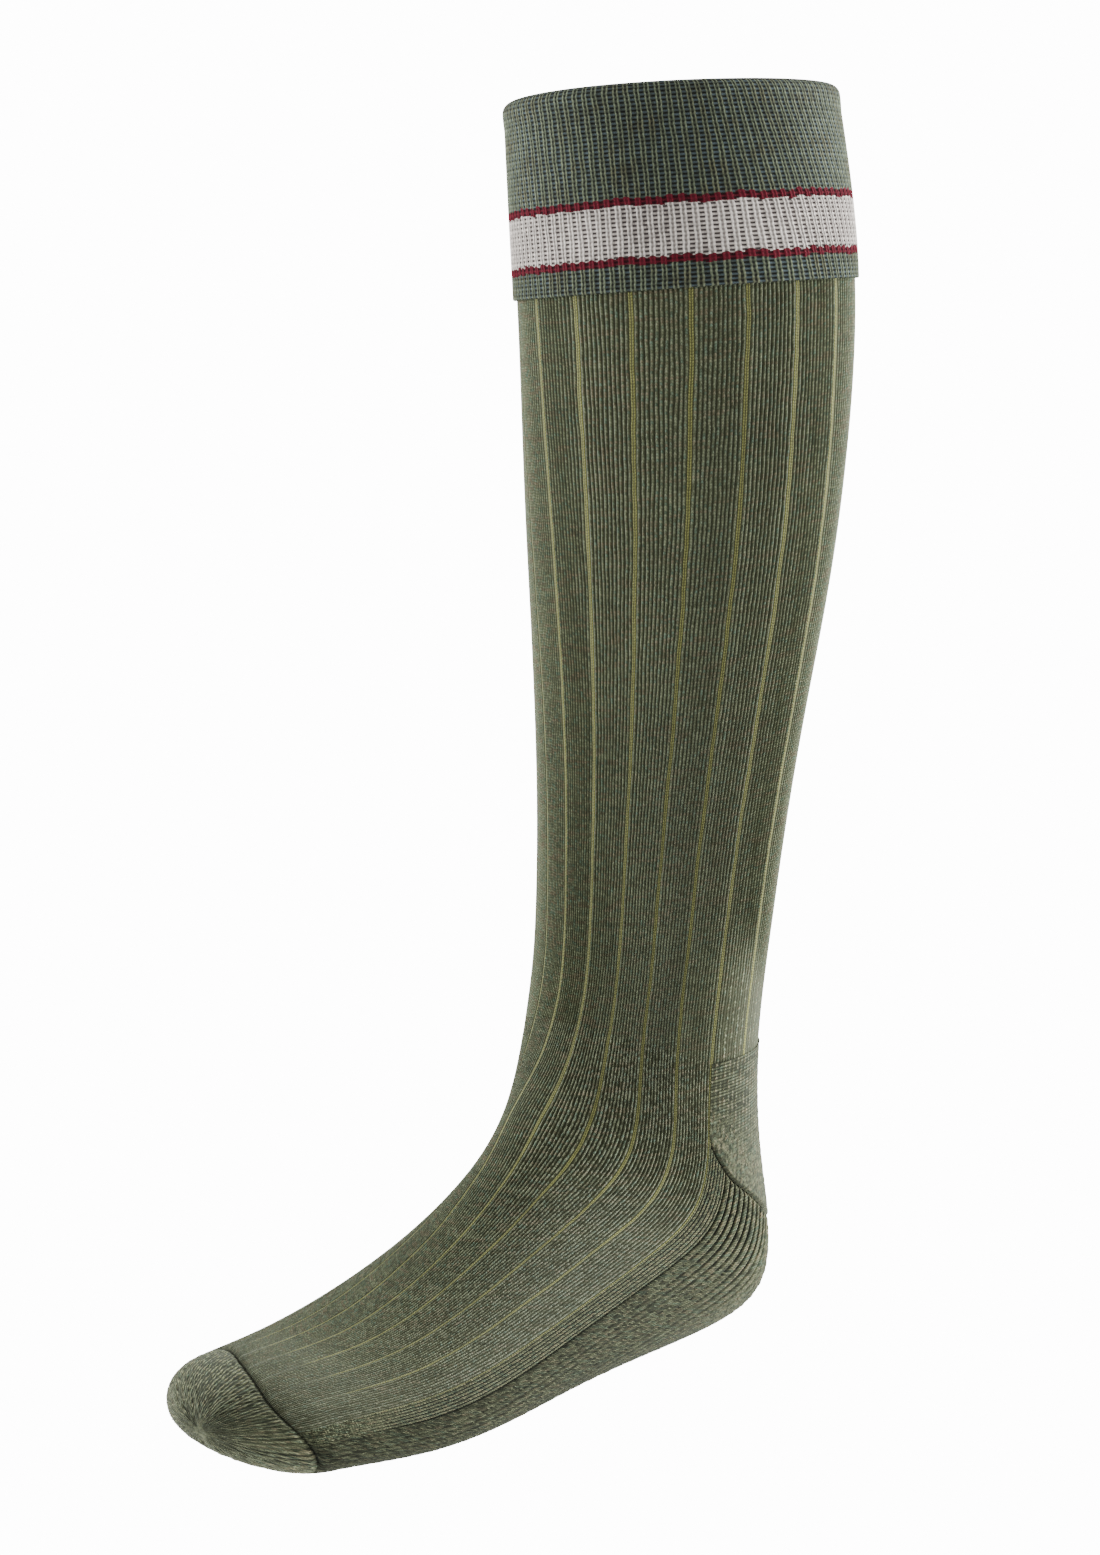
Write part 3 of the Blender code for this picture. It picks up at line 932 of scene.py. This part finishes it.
@dataclass
class Ribbed:
    """Fine rib of the leg and the instep: its pitch, its relief and its drift."""

    form: SockForm
    borders: Borders
    rows: int
    verts_per_wale: int = 4
    course: float = 0.00102
    rise: float = 0.0007
    stripe_half: float = 0.75
    stripe_rise: float = 0.35
    side_turns: Fade = (0.19, 0.20)
    side_loss: float = 0.35
    wander: tuple[float, float, float] = (0.06, 0.008, 0.06)

    def relief(self, wale: Grid, rib: Grid) -> Grid:
        """Height of the wales, lower along the pinstripes.

        Args:
            wale: place across the wales.
            rib: how strong the ribs are, 0 to 1.

        Returns:
            Height off the form, in metres.
        """
        off = np.abs(wale / STRIPE_WALES - np.rint(wale / STRIPE_WALES)) * STRIPE_WALES
        low = np.where(off < self.stripe_half, self.stripe_rise, 1.0)
        crest = np.cos(2.0 * math.pi * wale) * low
        return self.rise * (0.5 * crest * rib)


@dataclass
class Leg(Ribbed):
    """Ribbed tube from under the cuff to the ankle."""

    rows: int = 128
    hidden: float = 0.046
    overlap: float = 0.01
    seed: int = 5
    heel_rings: Fade = (7.4, 8.4)
    back_turns: Fade = (0.252, 0.268)
    back_loss: float = 0.85
    hem_width: Fade = (0.0004, 0.0012)
    hem_turns: Fade = (0.26, 0.29)

    def build(self, finish: Material) -> Piece:
        """Lay the leg.

        Args:
            finish: its material.

        Returns:
            The leg.
        """
        columns = WALES * self.verts_per_wale
        wale = np.linspace(-WALES / 2, WALES / 2, columns + 1)[None, :]
        share = shares(self.rows)
        top = self.form.ring_at_drop(self.hidden)
        turns = wale / WALES
        end = self.borders.ankle_at(turns)
        rings = top + (end + self.overlap - top) * share
        length = self.form.length(rings, turns)
        to_end = self.form.length(end, turns) - length
        turns = turns + Wander(self.seed, *self.wander)(turns, length) / WALES
        around = np.abs(wale / WALES)
        low = ramp(rings, *self.heel_rings)
        back = ramp(around, *self.back_turns) * low
        side = ramp(around, *self.side_turns) * low * (1.0 - back)
        rib = 1.0 - self.back_loss * back - self.side_loss * side
        points = self.form.lift(rings, turns, self.relief(wale, rib))
        zones = pair(rib, 1.0 - 0.35 * back)
        hem = fall(to_end, *self.hem_width) * ramp(around, *self.hem_turns)
        painted_shade_and_brightening = pair(0.0, 0.55 * back + 0.25 * side + 0.5 * hem)
        stitches = pair(wale, length / self.course)
        return KnitSheet("leg_rib", points, stitches, zones, True, painted_shade_and_brightening).build(finish)


@dataclass
class Instep(Ribbed):
    """Upper of the foot, its ribs running on from the leg to the toe seam."""

    rows: int = 210
    past_side: float = 0.6
    still: float = 3.0
    seed: int = 6
    heel_rings: Fade = (10.0, 10.6)
    flat_rings: Fade = (15.4, 16.6)
    flat_loss: float = 0.70
    thin_rings: Fade = (10.5, 13.5)
    thinning: float = 0.62
    stripe_end: Fade = (16.3, 17.0)
    tuck: float = 0.0011
    tuck_width: float = 0.0016
    instep_seam_shade_width: Fade = (0.0001, 0.0007)

    def build(self, finish: Material) -> Piece:
        """Lay the instep.

        Args:
            finish: its material.

        Returns:
            The instep.
        """
        half = self.borders.side * WALES + self.past_side
        columns = round(2 * half * self.verts_per_wale)
        wale = np.linspace(-half, half, columns + 1)[None, :]
        share = shares(self.rows)
        turns = wale / WALES
        seam = self.borders.seam_at(turns)
        rings = self.borders.ankle + (seam - self.borders.ankle) * share
        length = self.form.length(rings, turns)
        to_seam = self.form.length(seam, turns) - length
        drift = Wander(self.seed, *self.wander)(turns, length)
        turns = turns + drift * fall(np.abs(wale), half - self.still, half) / WALES
        heelward = ramp(np.abs(wale / WALES), *self.side_turns) * fall(rings, *self.heel_rings)
        rib = 1.0 - self.flat_loss * ramp(rings, *self.flat_rings) - self.side_loss * heelward
        stripe = 1.0 - self.thinning * ramp(rings, *self.thin_rings)
        stripe = stripe * fall(rings, *self.stripe_end)
        height = self.relief(wale, rib) - self.tuck * fall(to_seam, 0.0, self.tuck_width)
        points = self.form.lift(rings, turns, height)
        # painted shade along the toe seam's groove; on the sides by the heel the yarn comes out
        # lighter
        painted_shade_and_brightening = pair(fall(to_seam, *self.instep_seam_shade_width), 0.25 * heelward)
        zones, stitches = pair(rib, stripe), pair(wale, length / self.course)
        return KnitSheet("instep_rib", points, stitches, zones, False, painted_shade_and_brightening).build(finish)


@dataclass
class Terry:
    """Terry parts: upper heel, heel cup with the sole, and toe."""

    form: SockForm
    borders: Borders
    wales: int = 124
    toe_wales: int = 96
    toe_course: float = 0.00150
    fine_ribs: float = 6.5
    rib_wales: int = 104
    course: float = 0.00118
    loop: float = 0.00010
    overlap: float = 0.01
    tuck: float = 0.0012
    gore_tuck: float = 0.0014
    tuck_width: float = 0.0016
    toe_tuck_width: float = 0.0018
    gore_shade_width: Fade = (0.0002, 0.0013)
    toe_seam_shade_width: Fade = (0.0001, 0.0007)
    forward_turns: Fade = (0.29, 0.34)
    underside_turns: Fade = (0.31, 0.36)
    bottom_turns: Fade = (0.36, 0.42)
    foot_rings: Fade = (11.6, 13.4)
    line_width: float = 0.28
    cord_radius: float = 0.0005
    cord_swing: float = 0.0006
    ring_pitch: float = 0.0095
    cord_past: float = 0.01
    cord_sink: float = 0.0014
    cord_twist: float = 0.00012
    cord_twists: float = 1300.0
    loop_seed: int = 11
    loop_waves: int = 10
    loop_rings: Fade = (20.0, 21.6)
    heel_rows: int = 120
    heel_steps: int = 344
    heel_rise: float = 0.0004
    heel_rings: Fade = (9.6, 10.5)
    sole_rows: int = 240
    sole_steps: int = 400
    rib_rise: float = 0.00025
    fine_groove: float = 0.0005
    deep_groove: float = 0.0007
    rib_rings: Fade = (16.2, 17.2)
    line_depth: float = 0.0006
    line_rings: Fade = (15.8, 17.0)
    wrinkle_width: Fade = (0.0002, 0.0016)
    rough_turns: Fade = (0.34, 0.38)
    rough_rings: Fade = (12.4, 13.4)
    toe_rows: int = 100
    toe_rib_turns: Fade = (0.14, 0.22)
    toe_rib_rings: Fade = (18.8, 20.4)
    tip_rings: Fade = (20.4, 21.4)
    painted_light_turns: Fade = (0.12, 0.26)

    def _stipple(self, wale: Grid, length: Grid) -> Grid:
        """Uneven loops of the terry, about -1 to 1.

        Args:
            wale: place across the wales.
            length: distance along the knit.

        Returns:
            Height of the loops at each place.
        """
        course = length / (2.0 * self.course)
        rng = np.random.default_rng(self.loop_seed)
        total = np.zeros(np.broadcast(wale, course).shape)
        for _ in range(self.loop_waves):
            along, across = rng.uniform(0.35, 1.0), rng.uniform(-0.45, 0.45)
            phase = rng.uniform(0.0, 2.0 * math.pi)
            total += np.sin(2.0 * math.pi * (across * wale + along * course) + phase)
        return total / 3.0

    def _past_sides(self, steps: int) -> Grid:
        """Turns from one side line round the back to the other."""
        return np.linspace(self.borders.side, 1.0 - self.borders.side, steps + 1)[None, :]

    def _sole_ribs(self, turns: Grid) -> Grid:
        """Ribs counted from the side line: fine ones first, then the deep ones.

        Args:
            turns: turn of each place.

        Returns:
            Place across the ribs.
        """
        past = np.maximum(self.borders.around(turns) - self.borders.side, 0.0)
        fine = self.fine_ribs / WALES
        return np.where(past < fine, past * WALES, self.fine_ribs + (past - fine) * self.rib_wales)

    def _gore_shadow(self, distance: Grid, around: Grid) -> Grid:
        """Painted shade along the gore, strongest towards the front."""
        forward = fall(around, *self.forward_turns)
        return 0.8 * fall(distance, *self.gore_shade_width) * (0.35 + 0.65 * forward)

    def upper_heel(self, finish: Material) -> Piece:
        """Panel from the end of the back pinstripes down to the gore.

        Args:
            finish: its material.

        Returns:
            The panel.
        """
        turns = self._past_sides(self.heel_steps)
        share = shares(self.heel_rows)
        gore, top = self.borders.gore_at(turns), self.borders.ankle_at(turns)
        rings = top + (gore - top) * share
        wale = turns * self.wales
        length = self.form.length(rings, turns)
        to_gore = self.form.length(gore, turns) - length
        height = 0.6 * self.loop * self._stipple(wale, length)
        height = height + self.heel_rise - self.tuck * fall(to_gore, 0.0, self.tuck_width)
        points = self.form.lift(rings, turns, height)
        zones = pair(0.0, 0.05 + 0.80 * ramp(rings, *self.heel_rings))
        painted_shade_and_brightening = pair(self._gore_shadow(to_gore, self.borders.around(turns)), 0.0)
        stitches = pair(wale, length / self.course)
        return KnitSheet("upper_heel_terry", points, stitches, zones, False, painted_shade_and_brightening).build(finish)

    def sole(self, finish: Material) -> Piece:
        """Heel cup and sole, with fine and deep ribs along the side.

        Args:
            finish: its material.

        Returns:
            The heel cup and sole.
        """
        turns = self._past_sides(self.sole_steps)
        share = shares(self.sole_rows)
        gore, seam = self.borders.gore_at(turns), self.borders.seam_at(turns)
        rings = gore + (seam + self.overlap - gore) * share
        wale = self._sole_ribs(turns)
        length = self.form.length(rings, turns)
        from_gore = length - self.form.length(gore, turns)
        to_seam = self.form.length(seam, turns) - length
        around = self.borders.around(turns)
        deep = ramp(wale, self.fine_ribs - 0.5, self.fine_ribs + 0.5)
        near = fall(around, *self.bottom_turns)
        rib = near * (1.0 - 0.85 * deep * ramp(rings, *self.foot_rings))
        rib = rib * fall(rings, *self.rib_rings)
        groove = ramp(np.abs(wale - np.rint(wale)), 0.22, 0.5)
        depth = self.fine_groove + self.deep_groove * deep
        height = (self.rib_rise - groove * depth) * rib
        height = height + self.loop * self._stipple(wale, length) * (1.0 - rib)
        line = np.exp(-((wale - self.fine_ribs) / self.line_width)**2)
        line = line * fall(rings, *self.line_rings)
        wrinkle = fall(to_seam, *self.wrinkle_width) * fall(around, *self.underside_turns)
        height = height - self.gore_tuck * fall(from_gore, 0.0, self.tuck_width) * near
        height = height - self.tuck * wrinkle - self.line_depth * line
        points = self.form.lift(rings, turns, height)
        rough = 0.80 * ramp(around, *self.rough_turns) * fall(rings, *self.rough_rings)
        # painted shade along the gore, in the side line's groove, in the tuck by the toe seam and
        # over the deep ribs towards the foot; the fine ribs near the side come out lighter
        painted_shade = self._gore_shadow(from_gore, around)
        foot = 0.42 * ramp(rings, *self.foot_rings)
        painted_shade = np.clip(painted_shade + 0.95 * line + 0.7 * wrinkle + foot * deep, 0.0, 1.0)
        painted_shade_and_brightening = pair(painted_shade, 0.30 * (1.0 - deep) * near)
        zones, stitches = pair(rib, 0.08 + rough), pair(wale, length / self.course)
        return KnitSheet("sole_terry", points, stitches, zones, False, painted_shade_and_brightening).build(finish)

    def toe(self, finish: Material) -> Piece:
        """Closed toe, tucked down along its seam.

        Args:
            finish: its material.

        Returns:
            The toe.
        """
        turns = np.linspace(-0.5, 0.5, 6 * self.toe_wales + 1)[None, :]
        share = shares(self.toe_rows)
        seam = self.borders.seam_at(turns)
        rings = seam + (self.form.tip_ring - seam) * share
        wale = turns * self.toe_wales
        length = self.form.length(rings, turns)
        from_seam = length - self.form.length(seam, turns)
        around = np.abs(turns)
        on_top = fall(around, *self.underside_turns)
        height = self.loop * 1.1 * self._stipple(wale, length) * fall(rings, *self.loop_rings)
        height = height - self.tuck * fall(from_seam, 0.0, self.toe_tuck_width) * on_top
        points = self.form.lift(rings, turns, height)
        under = ramp(around, *self.toe_rib_turns) * fall(rings, *self.toe_rib_rings)
        zones = pair(0.35 * under, 0.05 + 0.95 * ramp(rings, *self.tip_rings))
        # painted shade along the seam on top, and painted light brightening the toe more the
        # further it turns towards its underside
        painted_shade = fall(from_seam, *self.toe_seam_shade_width) * on_top
        painted_shade_and_brightening = pair(painted_shade, 0.45 + 0.75 * ramp(around, *self.painted_light_turns))
        stitches = pair(wale, length / self.toe_course)
        return KnitSheet("toe_terry", points, stitches, zones, True, painted_shade_and_brightening).build(finish)

    def seam(self, finish: Material) -> Piece:
        """Linked seam across the top of the toe, a thin cord sunk in its groove.

        Args:
            finish: its material.

        Returns:
            The cord.
        """
        side = self.borders.side
        turns = np.linspace(-side - self.cord_past, side + self.cord_past, 241)[None, :]
        around = np.linspace(0.0, 2.0 * math.pi, 9)[:, None]
        taper = np.sqrt(np.clip(1.0 - (turns / (side + 0.012))**8, 0.0, 1.0))
        step = self.cord_swing / self.ring_pitch
        rings = self.borders.seam_at(turns) + step * np.sin(around) * taper
        twist = self.cord_twist * np.sin(turns * self.cord_twists)
        height = -self.cord_sink + self.cord_radius * np.cos(around) * taper + twist
        points = self.form.lift(rings, turns, height)
        stitches = pair(turns * 600.0, around / 3.0)
        # painted shade: the whole cord is darkened to stand for the shadow in the seam's groove
        painted_shade_and_brightening = pair(np.full_like(rings, 0.75), 0.0)
        zones = np.zeros_like(stitches)
        return KnitSheet("toe_seam_cord", points, stitches, zones, True, painted_shade_and_brightening).build(finish)


@dataclass
class Cuff:
    """Turned-down cuff: the fold, the stripes and the hem, in an open rib."""

    form: SockForm
    ribs: int = 96
    turnover: float = 0.0376
    stripe: float = 0.0028
    cream: float = 0.0170
    hem: float = 0.0084
    off_leg: float = 0.0016
    roll: float = 0.0035
    bulge: float = 0.0005
    inner_drop: float = 0.0124
    fabric: float = 0.0012
    step: float = 0.000375
    across: tuple[float, ...] = (-0.50, -0.34, -0.21, -0.08, 0.08, 0.21, 0.34)
    lean_ribs: float = 4.2
    lean_length: float = 0.069
    leg_place: float = 0.20
    leg_spread: float = 0.08
    leg_rise: float = 0.00022
    ladder_depth: float = 0.00025
    ladder_place: Fade = (0.26, 0.36)
    even_fold: Fade = (0.001, 0.008)
    lean_from: Fade = (0.10, 0.24)
    lean_to: Fade = (0.34, 0.48)
    seed: int = 3
    wander: tuple[float, float, float] = (0.03, 0.010, 0.05)

    def edges(self) -> tuple[float, float, float, float]:
        """Drops of the two maroon stripes' borders.

        Returns:
            Top and bottom of the upper stripe, then of the lower one.
        """
        first = self.turnover
        second = first + self.stripe
        third = second + self.cream
        return first, second, third, third + self.stripe

    def _ribs(self) -> Grid:
        """Places across the ribs, from the back round to the back.

        Returns:
            A place for each column of points.
        """
        starts = np.arange(-self.ribs // 2, self.ribs // 2)[:, None]
        places = (starts + np.array(self.across)[None, :]).ravel()
        return np.append(places, self.ribs / 2 - 0.5)[None, :]

    def _sheet(self, name: str, heights: Grid, drops: Grid, start: float, way: int) -> KnitSheet:
        """Knit that follows a profile.

        Args:
            name: piece name.
            heights: distance off the leg at each row.
            drops: drop below the leg opening at each row.
            start: place of the first row along the fabric, measured from the fold.
            way: 1 if the rows run away from the fold, -1 if they run towards it.

        Returns:
            The sheet.
        """
        steps = np.hypot(np.diff(heights), np.diff(drops))
        runs = (start + way * np.concatenate(((0.0,), np.cumsum(steps))))[:, None]
        rib = self._ribs()
        turns = (rib + 0.5) / self.ribs
        drift = Wander(self.seed, *self.wander)(turns, runs)
        lean = self.lean_ribs * runs / self.lean_length * (
            ramp(turns, *self.lean_from) - ramp(turns, *self.lean_to))
        moved = turns + (drift + lean) / self.ribs
        away = np.abs(rib - np.rint(rib))
        bar = 0.5 + 0.5 * np.cos(2.0 * math.pi * (runs / CUFF_COURSE + CUFF_START))
        leg = np.exp(-((away - self.leg_place) / self.leg_spread)**2)
        ladder = ramp(away, *self.ladder_place)
        relief = self.leg_rise * leg - self.ladder_depth * ladder * (1.0 - bar)
        relief = relief * (0.25 + 0.75 * ramp(runs, *self.even_fold))
        rings = self.form.ring_at_drop(np.maximum(drops, 0.0))[:, None]
        outside = np.where(heights[:, None] > 0.0, 1.0, 0.0)
        points = self.form.lift(rings, moved, heights[:, None] + relief * outside)
        points[..., 2] += np.maximum(-drops, 0.0)[:, None]
        stitches = pair(rib, runs)
        return KnitSheet(name, points, stitches, np.zeros_like(stitches), True)

    def fold(self, finish: Material) -> Piece:
        """The turned-over top and its inner layer.

        Args:
            finish: its material.

        Returns:
            The fold.
        """
        settle = 3.0 * self.roll
        middle = self.off_leg + self.bulge - self.roll
        flap = np.arange(self.turnover, settle, -self.step)
        ease = np.linspace(settle, self.roll, 12)
        bulge = middle + self.roll - self.off_leg
        swell = self.off_leg + bulge * ramp(-ease, -settle, -self.roll)
        angle = np.linspace(0.0, math.pi, 24)[1:]
        inner = np.linspace(self.roll, self.inner_drop, 10)[1:]
        sink = middle - self.roll + (-self.fabric - middle + self.roll) * ramp(
            inner, self.roll, settle)
        heights = np.concatenate((np.full(flap.shape, self.off_leg), swell,
                                  middle + self.roll * np.cos(angle), sink))
        drops = np.concatenate((flap, ease, self.roll * (1.0 - np.sin(angle)), inner))
        return self._sheet("cuff_fold", heights, drops, self.turnover, -1).build(finish)

    def band(self, name: str, top: float, depth: float, finish: Material,
             rounded: bool = False) -> Piece:
        """A ring of the flap.

        Args:
            name: piece name.
            top: its drop from the fold.
            depth: its height.
            finish: its material.
            rounded: whether its lower edge turns under.

        Returns:
            The band.
        """
        count = max(round(depth / self.step), 4) + 1
        drops = np.linspace(top, top + depth, count)
        heights = np.full(drops.shape, self.off_leg)
        if rounded:
            radius = self.fabric / 2
            bend = top + depth - radius
            angle = np.linspace(0.0, math.pi, 9)[1:]
            under = np.linspace(bend, top, 8)[1:]
            heights = np.concatenate((heights, self.off_leg - radius + radius * np.cos(angle),
                                      np.full(under.shape, self.off_leg - self.fabric)))
            drops = np.concatenate((np.linspace(top, bend, count),
                                    bend + radius * np.sin(angle), under))
        return self._sheet(name, heights, drops, top, 1).build(finish)


@dataclass
class InnerFace:
    """Inner side of the knit, seen through the leg opening."""

    form: SockForm
    wales: int = 96
    course: float = 0.0012
    start: float = 0.010
    wall: float = 0.0021
    rows: int = 180
    rise: float = 0.0001

    def build(self, finish: Material) -> Piece:
        """Lay it from the fold's inner layer to the toe.

        Args:
            finish: its material.

        Returns:
            The inner face.
        """
        turns = np.linspace(-0.5, 0.5, 3 * self.wales + 1)[None, :]
        share = shares(self.rows)
        top = self.form.ring_at_drop(self.start)
        rings = top + (self.form.tip_ring - 0.3 - top) * share
        length = self.form.length(rings, turns)
        wale = turns * self.wales
        height = -self.wall + self.rise * np.cos(2 * math.pi * wale)
        points = self.form.lift(rings, turns, height)
        stitches = pair(wale, length / self.course)
        zones = pair(np.full_like(length, 0.4), 0.6)
        return KnitSheet("inner_face", points, stitches, zones, True).build(finish, False)


# Studio

def show_white(tree: bpy.types.NodeTree, lit: bpy.types.Node, white: bpy.types.Node,
               output: str) -> None:
    """Show the camera a white ground, and light the sock with a dimmer one.

    Args:
        tree: nodes of the floor or the world.
        lit: shader that lights the sock.
        white: shader that the camera sees.
        output: name of the output node.
    """
    path = tree.nodes.new("ShaderNodeLightPath")
    mix = tree.nodes.new("ShaderNodeMixShader")
    tree.links.new(path.outputs["Is Camera Ray"], mix.inputs["Fac"])
    tree.links.new(lit.outputs[0], mix.inputs[1])
    tree.links.new(white.outputs[0], mix.inputs[2])
    tree.links.new(mix.outputs[0], tree.nodes[output].inputs["Surface"])


def aim(thing: Piece, place: tuple[float, ...], target: tuple[float, ...]) -> None:
    """Add a lamp or a camera to the scene, looking at a target.

    Args:
        thing: the lamp or camera.
        place: where it stands.
        target: what it looks at.
    """
    thing.location = place
    thing.rotation_mode = "QUATERNION"
    thing.rotation_quaternion = (Vector(target) - Vector(place)).to_track_quat("-Z", "Y")
    bpy.context.scene.collection.objects.link(thing)


@dataclass(frozen=True)
class Softbox:
    """A rectangular area light."""

    name: str
    place: tuple[float, ...]
    target: tuple[float, float, float]
    power: float
    width: float = 0.9
    height: float = 1.6

    def build(self) -> None:
        """Set the light up."""
        light = bpy.data.lights.new(self.name, "AREA")
        light.shape = "RECTANGLE"
        light.size = self.width
        light.size_y = self.height
        light.energy = self.power
        aim(bpy.data.objects.new(self.name, light), self.place, self.target)


@dataclass(frozen=True)
class Studio:
    """Pale floor, soft light and the camera."""

    azimuth: float = 42.5
    elevation: float = 9.8
    distance: float = 0.94
    target: tuple[float, float, float] = (0.0, -0.0643, -0.2406)
    focal_pixels: float = 2632.0
    long_side_pixels: float = 1555.0
    sensor: float = 36.0
    floor_drop: float = -0.75
    floor_size: float = 12.0
    floor_grey: float = 0.92
    backdrop: float = 14.0
    fill: float = 0.70
    softbox_turn: float = 105.0
    softbox_lift: float = 14.0
    softbox_distance: float = 1.3
    left_power: float = 31.0
    right_power: float = 44.0

    def _round(self, azimuth: float, elevation: float, distance: float) -> tuple[float, ...]:
        """A place round the target, seen from the camera's convention.

        Args:
            azimuth: angle round the upright, in degrees.
            elevation: angle above the floor, in degrees.
            distance: distance from the target, in metres.

        Returns:
            The place.
        """
        a, e = math.radians(azimuth), math.radians(elevation)
        back = Vector((math.sin(a) * math.cos(e), -math.cos(a) * math.cos(e), math.sin(e)))
        return tuple(Vector(self.target) + back * distance)

    def camera(self) -> None:
        """Place the camera at the photograph's angle."""
        data = bpy.data.cameras.new("camera")
        data.sensor_width = self.sensor
        data.lens = self.focal_pixels / self.long_side_pixels * data.sensor_width
        data.clip_start = 0.01
        view = bpy.data.objects.new("camera", data)
        aim(view, self._round(self.azimuth, self.elevation, self.distance), self.target)
        bpy.context.scene.camera = view

    def floor(self) -> None:
        """A wide pale floor well below the sock."""
        work = bmesh.new()
        bmesh.ops.create_grid(work, x_segments=8, y_segments=8, size=self.floor_size)
        mesh = bpy.data.meshes.new("floor")
        work.to_mesh(mesh)
        work.free()
        mesh.transform(Matrix.Translation((0.0, 0.0, self.floor_drop)))
        recipe = Recipe("floor")
        recipe.shader.inputs["Base Color"].default_value = tint((self.floor_grey,) * 3)
        recipe.shader.inputs["Roughness"].default_value = 1.0
        recipe.shader.inputs["Specular IOR Level"].default_value = 0.0
        seen = recipe.tree.nodes.new("ShaderNodeEmission")
        seen.inputs["Strength"].default_value = self.backdrop
        show_white(recipe.tree, recipe.shader, seen, "Material Output")
        mesh.materials.append(recipe.material)
        floor = bpy.data.objects.new("floor", mesh)
        bpy.context.scene.collection.objects.link(floor)

    def light(self) -> None:
        """Bright from both sides, dim from the front, as in the photograph."""
        world = bpy.data.worlds.new("studio")
        bpy.context.scene.world = world
        world.use_nodes = True
        tree = world.node_tree
        seen, fill = tree.nodes["Background"], tree.nodes.new("ShaderNodeBackground")
        for node, strength in ((seen, self.backdrop), (fill, self.fill)):
            node.inputs["Color"].default_value = tint((1.0, 1.0, 1.0))
            node.inputs["Strength"].default_value = strength
        show_white(tree, fill, seen, "World Output")
        for side, turn, power in (("left", -self.softbox_turn, self.left_power),
                                  ("right", self.softbox_turn, self.right_power)):
            place = self._round(self.azimuth + turn, self.softbox_lift, self.softbox_distance)
            Softbox(side + "_softbox", place, self.target, power).build()


def main() -> None:
    """Build the sock and its studio."""
    logging.basicConfig(level=logging.INFO, format="%(name)s %(message)s")
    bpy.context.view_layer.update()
    form = SockForm()
    borders = Borders()
    dress(Leg(form, borders).build(RibFinish("leg_wool").material()), Zone.LEG)
    instep_finish = RibFinish("instep_wool", 0.30, 0.9).material()
    dress(Instep(form, borders).build(instep_finish), Zone.INSTEP)
    terry = Terry(form, borders)
    heel_finish = TerryFinish("heel_terry", 0.8, 1.0).material()
    sole_finish = TerryFinish("sole_terry", grain=1.2, regular=0.5, fuzz=0.10).material()
    toe_finish = TerryFinish("toe_terry", 1.1, grain=0.80).material()
    seam_finish = TerryFinish("seam_yarn", fuzz=0.05).material()
    dress(terry.upper_heel(heel_finish), Zone.UPPER_HEEL)
    dress(terry.sole(sole_finish), Zone.SOLE)
    dress(terry.toe(toe_finish), Zone.TOE_CAP)
    dress(terry.seam(seam_finish), Zone.TOE_SEAM)
    cuff = Cuff(form)
    edges = cuff.edges()
    finish = {zone: OpenRibFinish(zone.value + "_knit", edges).material()
              for zone in (Zone.TURNOVER, Zone.UPPER_STRIPE, Zone.CREAM, Zone.LOWER_STRIPE,
                           Zone.HEM)}
    dress(cuff.fold(finish[Zone.TURNOVER]), Zone.TURNOVER)
    bands = ((Zone.UPPER_STRIPE, edges[0], cuff.stripe), (Zone.CREAM, edges[1], cuff.cream),
             (Zone.LOWER_STRIPE, edges[2], cuff.stripe), (Zone.HEM, edges[3], cuff.hem))
    for zone, top, depth in bands:
        rounded = zone is Zone.HEM
        dress(cuff.band(zone.value + "_rib", top, depth, finish[zone], rounded), zone)
    dress(InnerFace(form).build(TerryFinish("inside_terry", fuzz=0.1).material()), Zone.LEG)
    studio = Studio()
    studio.camera()
    studio.floor()
    studio.light()


if __name__ == "__main__":
    main()
